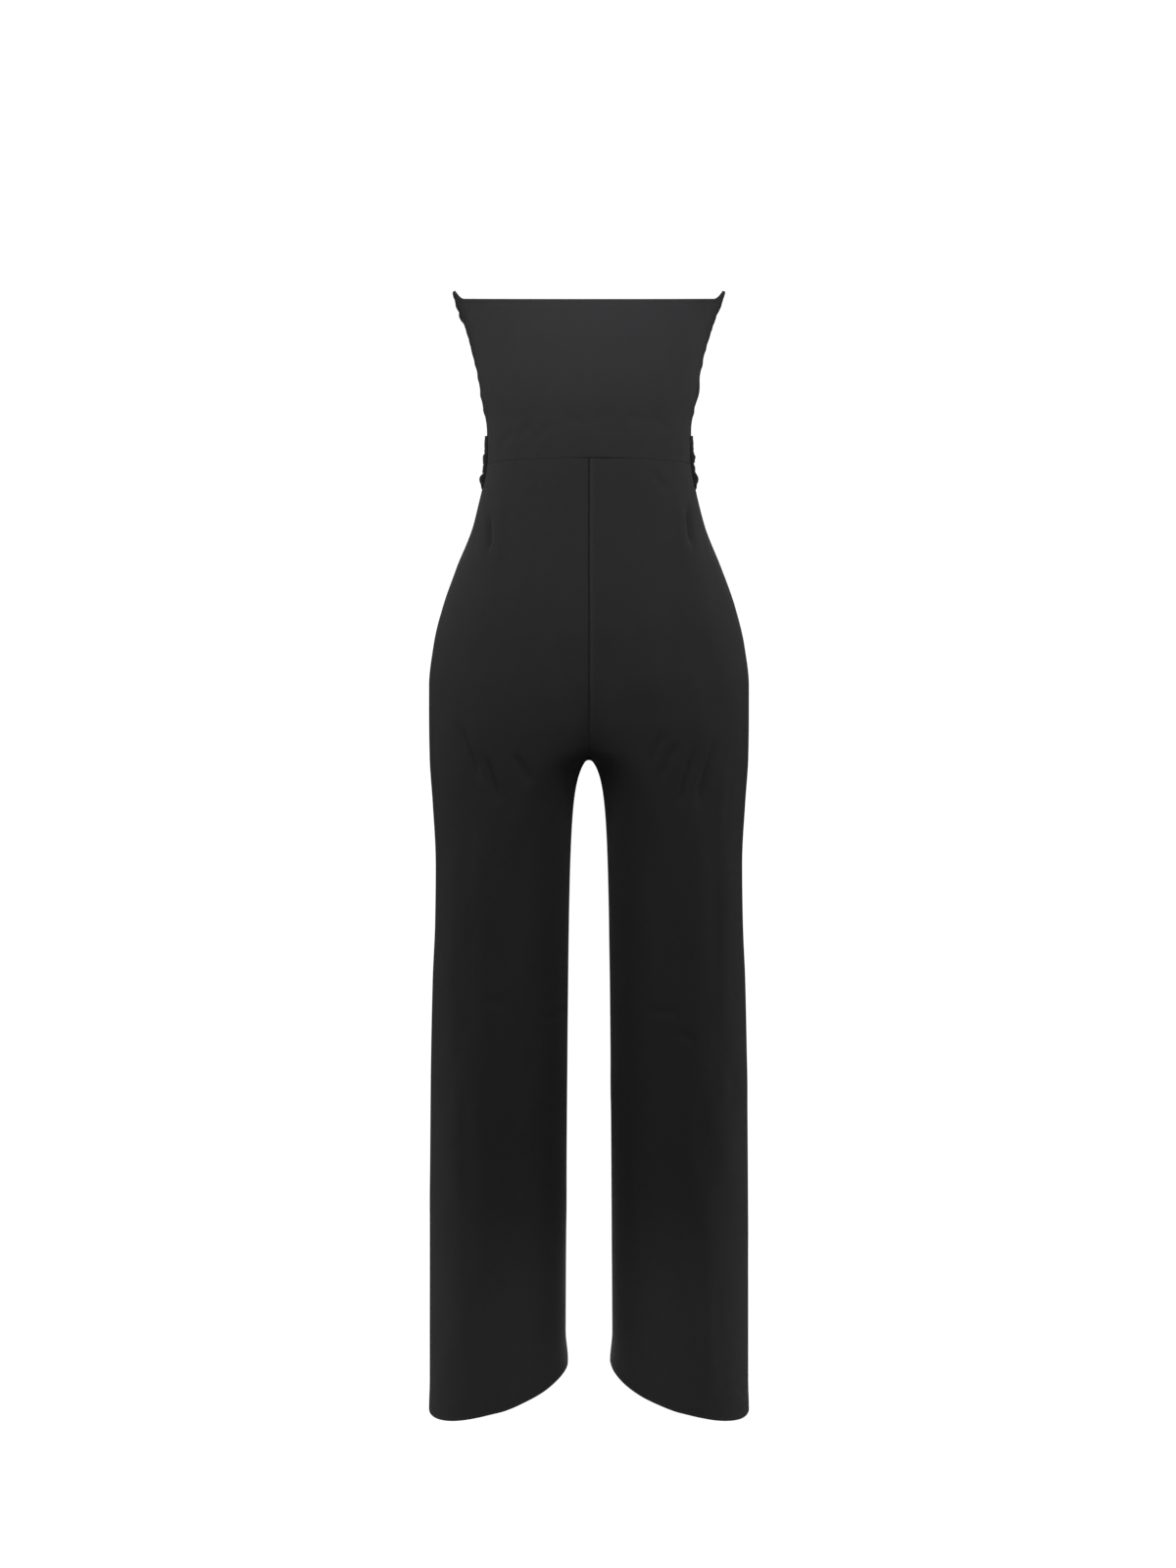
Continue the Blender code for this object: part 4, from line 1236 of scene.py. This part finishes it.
# %% Knit materials
PAINTED_SHADE_COLOUR = (0.0012, 0.0012, 0.0013)  # the colour of painted shade in seam rolls, along edge lips and in deep creases
GAP_SHADE = 0.7  # how much painted shade darkens the gaps between loops
CLOUD_GAIN = 0.9  # contrast and shift of the nap's clouds, and how much they make the cloth paler
CLOUD_SHIFT = -0.2
CLOUD_SHARE = 0.5
ROUGH_SPREAD = 0.16  # how much the fuzz varies the roughness
FUZZ_BUMP = {"Distance": 0.0003, "Strength": 0.25}  # the distance is a bump's height in metres
LOOP_BUMP = {"Distance": 0.0002, "Strength": 0.5}


def use_group(tree, group, **inputs):
    return add_node(tree, "Group", inputs, node_tree=group)


def attribute(tree, name):
    """The mesh's own value of this name at each point."""
    return add_node(tree, "Attribute", attribute_name=name)["Fac"]


def new_material(name):
    """A material with its node tree and its Principled shader."""
    material = bpy.data.materials.new(name)
    material.use_nodes = True
    return material, material.node_tree, material.node_tree.nodes["Principled BSDF"]


def make_knit(name, deep, pale, wear_and_highlight, loop, roughness, sheen):
    """Colour: deep in the gaps, as painted shade, and pale on the loops, clouded by the nap, then paler wear
    with a painted highlight, and painted shade, along seams, edges and deep creases.
    The loop is its width and its height in metres, and how far its V leans."""
    material, tree, shader = new_material(name)
    loops = use_group(tree, LOOPS, Cloth=add_node(tree, "UVMap", uv_map="Cloth")["UV"], **loop)
    nap = use_group(tree, NAP, Place=add_node(tree, "TexCoord")["Object"])
    # painted shade in the gaps between the loops
    colour = mixed(tree, maths(tree, "MULTIPLY", loops["Gaps"], GAP_SHADE), pale, deep)
    cloudy = maths(tree, "MULTIPLY_ADD", nap["Clouds"], CLOUD_GAIN, CLOUD_SHIFT)
    colour = mixed(tree, maths(tree, "MULTIPLY", cloudy, CLOUD_SHARE), colour, pale)
    # the mesh's painted shade and its paler wear with a painted highlight
    marks_of_wear_and_light = {"WearAndHighlight": attribute(tree, "wear_and_highlight"), "PaintedShade": attribute(tree, "painted_shade"), "Fuzz": nap["Fuzz"]}
    fuzzy = add_node(tree, "Bump", {"Height": nap["Fuzz"], **FUZZ_BUMP})
    looped = add_node(tree, "Bump", {"Height": loops["Height"], "Normal": fuzzy["Normal"], **LOOP_BUMP})
    inputs = {
        "Base Color": use_group(tree, WEAR_AND_PAINTED_LIGHT, Colour=colour, Pale=wear_and_highlight, Dark=PAINTED_SHADE_COLOUR, **marks_of_wear_and_light)["Colour"],
        "Metallic": 0.0,
        "Roughness": maths(tree, "MULTIPLY_ADD", nap["Fuzz"], ROUGH_SPREAD, roughness - ROUGH_SPREAD / 2),
        "Specular IOR Level": 0.1,
        "Sheen Weight": sheen,
        "Sheen Roughness": 0.55,
        "Sheen Tint": (0.55, 0.55, 0.58),
        "Normal": looped["Normal"],
    }
    set_inputs(tree, shader, inputs)
    return material


KNIT_FACE = make_knit(
    "Black knit face",
    deep=(0.0055, 0.0055, 0.0060),
    pale=(0.0110, 0.0110, 0.0117),
    wear_and_highlight=(0.016, 0.016, 0.017),
    loop={"Width": 0.0009, "Height": 0.0007, "Lean": 0.5},
    roughness=0.8,
    sheen=0.05,
)
KNIT_BACK = make_knit(
    "Black knit wrong side",
    deep=(0.0050, 0.0050, 0.0055),
    pale=(0.0100, 0.0100, 0.0106),
    wear_and_highlight=(0.012, 0.012, 0.0127),
    loop={"Width": 0.0014, "Height": 0.0006, "Lean": 0.25},
    roughness=0.86,
    sheen=0.04,
)
print("Materials:", KNIT_FACE.name, "and", KNIT_BACK.name)

# %% Dress every piece
for panel in PANELS.values():
    panel["piece"].data.materials.append(KNIT_FACE)
    panel["piece"].data.materials.append(KNIT_BACK)
print("Both materials are on", len(PANELS), "pieces")

# %% [markdown]
# ## Sewing the pieces to the frame
#
# Each shell takes the place of its solid and rides on the garment's one body. The back
# bodice is cut a little small, because the body stretches it, and the front bodice and the sash are cut
# larger, for their gathers and pleats.


def declare(name, panel):
    piece = panel["piece"]
    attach(piece, "root")
    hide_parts(name)


for label, panel in PANELS.items():
    declare(label, panel)

# %% [markdown]
# ## The studio
#
# Black cloth shows its shape only by what it reflects, so the light is soft and comes from several places.
# A broad lamp hangs high behind the camera with a smaller one below it, one stands at each side, high and
# low, to draw the outer edges, and two small ones stand close to the chest and to the hems. Each has a twin
# across the garment, so that the front is lit as the back is. Around them everything is white to the eye: a
# white room and a floor that glows like a light table.
#
# An open sky of that whiteness would light the cloth from all sides and wash out every fold. So the room
# and the floor are white only to the camera, and the lamps do the rest.

# %% Floor and room
FLOOR_HEIGHT = -1.245  # these two are in metres
FLOOR_SIZE = 9.0
WHITE = (1.0, 1.0, 1.0)
ROOM_WHITE = 1.05  # how bright the room looks, and how bright it shines on the garment
ROOM_LIGHT = 0.05


def white_to_camera(tree, shader, white, strength):
    """What the camera sees is plain white, and what lights the garment is the shader. Returns the mix."""
    glow = add_node(tree, white, {"Color": WHITE, "Strength": strength})[0]
    seen = add_node(tree, "LightPath")["Is Camera Ray"]
    return add_node(tree, "MixShader", {0: seen, 1: shader, 2: glow})[0]


def make_floor():
    """A plain square, clear from below so that the open hems can be looked into."""
    half = FLOOR_SIZE / 2
    corners = [(x * half, y * half, FLOOR_HEIGHT) for x, y in ((-1, -1), (1, -1), (1, 1), (-1, 1))]
    mesh = bpy.data.meshes.new("Studio floor")
    mesh.from_pydata(corners, [], [(0, 1, 2, 3)])
    floor = into_scene("Studio floor", mesh)
    material, tree, shader = new_material("Light table")
    set_inputs(tree, shader, {"Base Color": (0.40, 0.40, 0.40), "Roughness": 0.9})
    glowing = white_to_camera(tree, shader.outputs[0], "Emission", ROOM_WHITE)
    from_below = add_node(tree, "NewGeometry")["Backfacing"]
    clear = add_node(tree, "BsdfTransparent")[0]
    surface = add_node(tree, "MixShader", {0: from_below, 1: glowing, 2: clear})[0]
    set_inputs(tree, tree.nodes["Material Output"], {"Surface": surface})
    mesh.materials.append(material)


def make_room():
    """An even white room, and colours shown as they are."""
    world = bpy.data.worlds.new("White room")
    world.use_nodes = True
    tree = world.node_tree
    dim = tree.nodes["Background"]
    set_inputs(tree, dim, {"Color": WHITE, "Strength": ROOM_LIGHT})
    white = white_to_camera(tree, dim.outputs[0], "Background", ROOM_WHITE)
    set_inputs(tree, tree.nodes["World Output"], {"Surface": white})
    bpy.context.scene.world = world
    bpy.context.scene.view_settings.view_transform = "Standard"


make_floor()
make_room()
print(f"A white room, and a floor at {FLOOR_HEIGHT} m")

# %% Lamps, with their places and sizes in metres
LAMP_COLUMNS = ("name", "side", "back", "height", "aim", "size", "spread", "power")
LAMPS = (
    ("Broad lamp", 0.0, 1.6, 1.2, -0.2, 1.0, 180.0, 35.0),
    ("Fill lamp", 0.0, 1.1, 0.15, 0.12, 0.5, 180.0, 8.2),
    ("Side lamp", 1.2, 0.0, 0.35, 0.3, 0.6, 180.0, 9.3),
    ("Low side lamp", 1.2, 0.0, -1.0, -1.0, 0.6, 50.0, 0.62),
    ("Chest lamp", 0.0, 0.25, 0.17, 0.15, 0.3, 60.0, 0.30),
    ("Hem lamp", 0.0, 0.35, -1.05, -1.07, 0.3, 60.0, 0.17),
)


def make_lamp(name, place, aim, size, spread, power):
    """A square soft lamp, turned so that its -Z axis points at the garment's own axis at the aim height.
    The spread is the full angle of its beam, in degrees."""
    data = bpy.data.lights.new(name, "AREA")
    data.size = size
    data.spread = np.radians(spread)
    data.energy = power
    lamp = into_scene(name, data)
    lamp.location = place
    towards = np.array([0.0, 0.0, aim]) - np.array(place)
    towards = towards / np.linalg.norm(towards)
    lamp.rotation_euler = (np.arccos(-towards[2]), 0.0, np.arctan2(-towards[0], towards[1]))
    lamp.visible_camera = False


for lamp in named_rows(LAMP_COLUMNS, LAMPS):
    for twin in (1, -1):
        place = (twin * lamp["side"], twin * lamp["back"], lamp["height"])
        make_lamp(lamp["name"], place, lamp["aim"], lamp["size"], lamp["spread"], lamp["power"])
print(2 * len(LAMPS), "soft lamps")
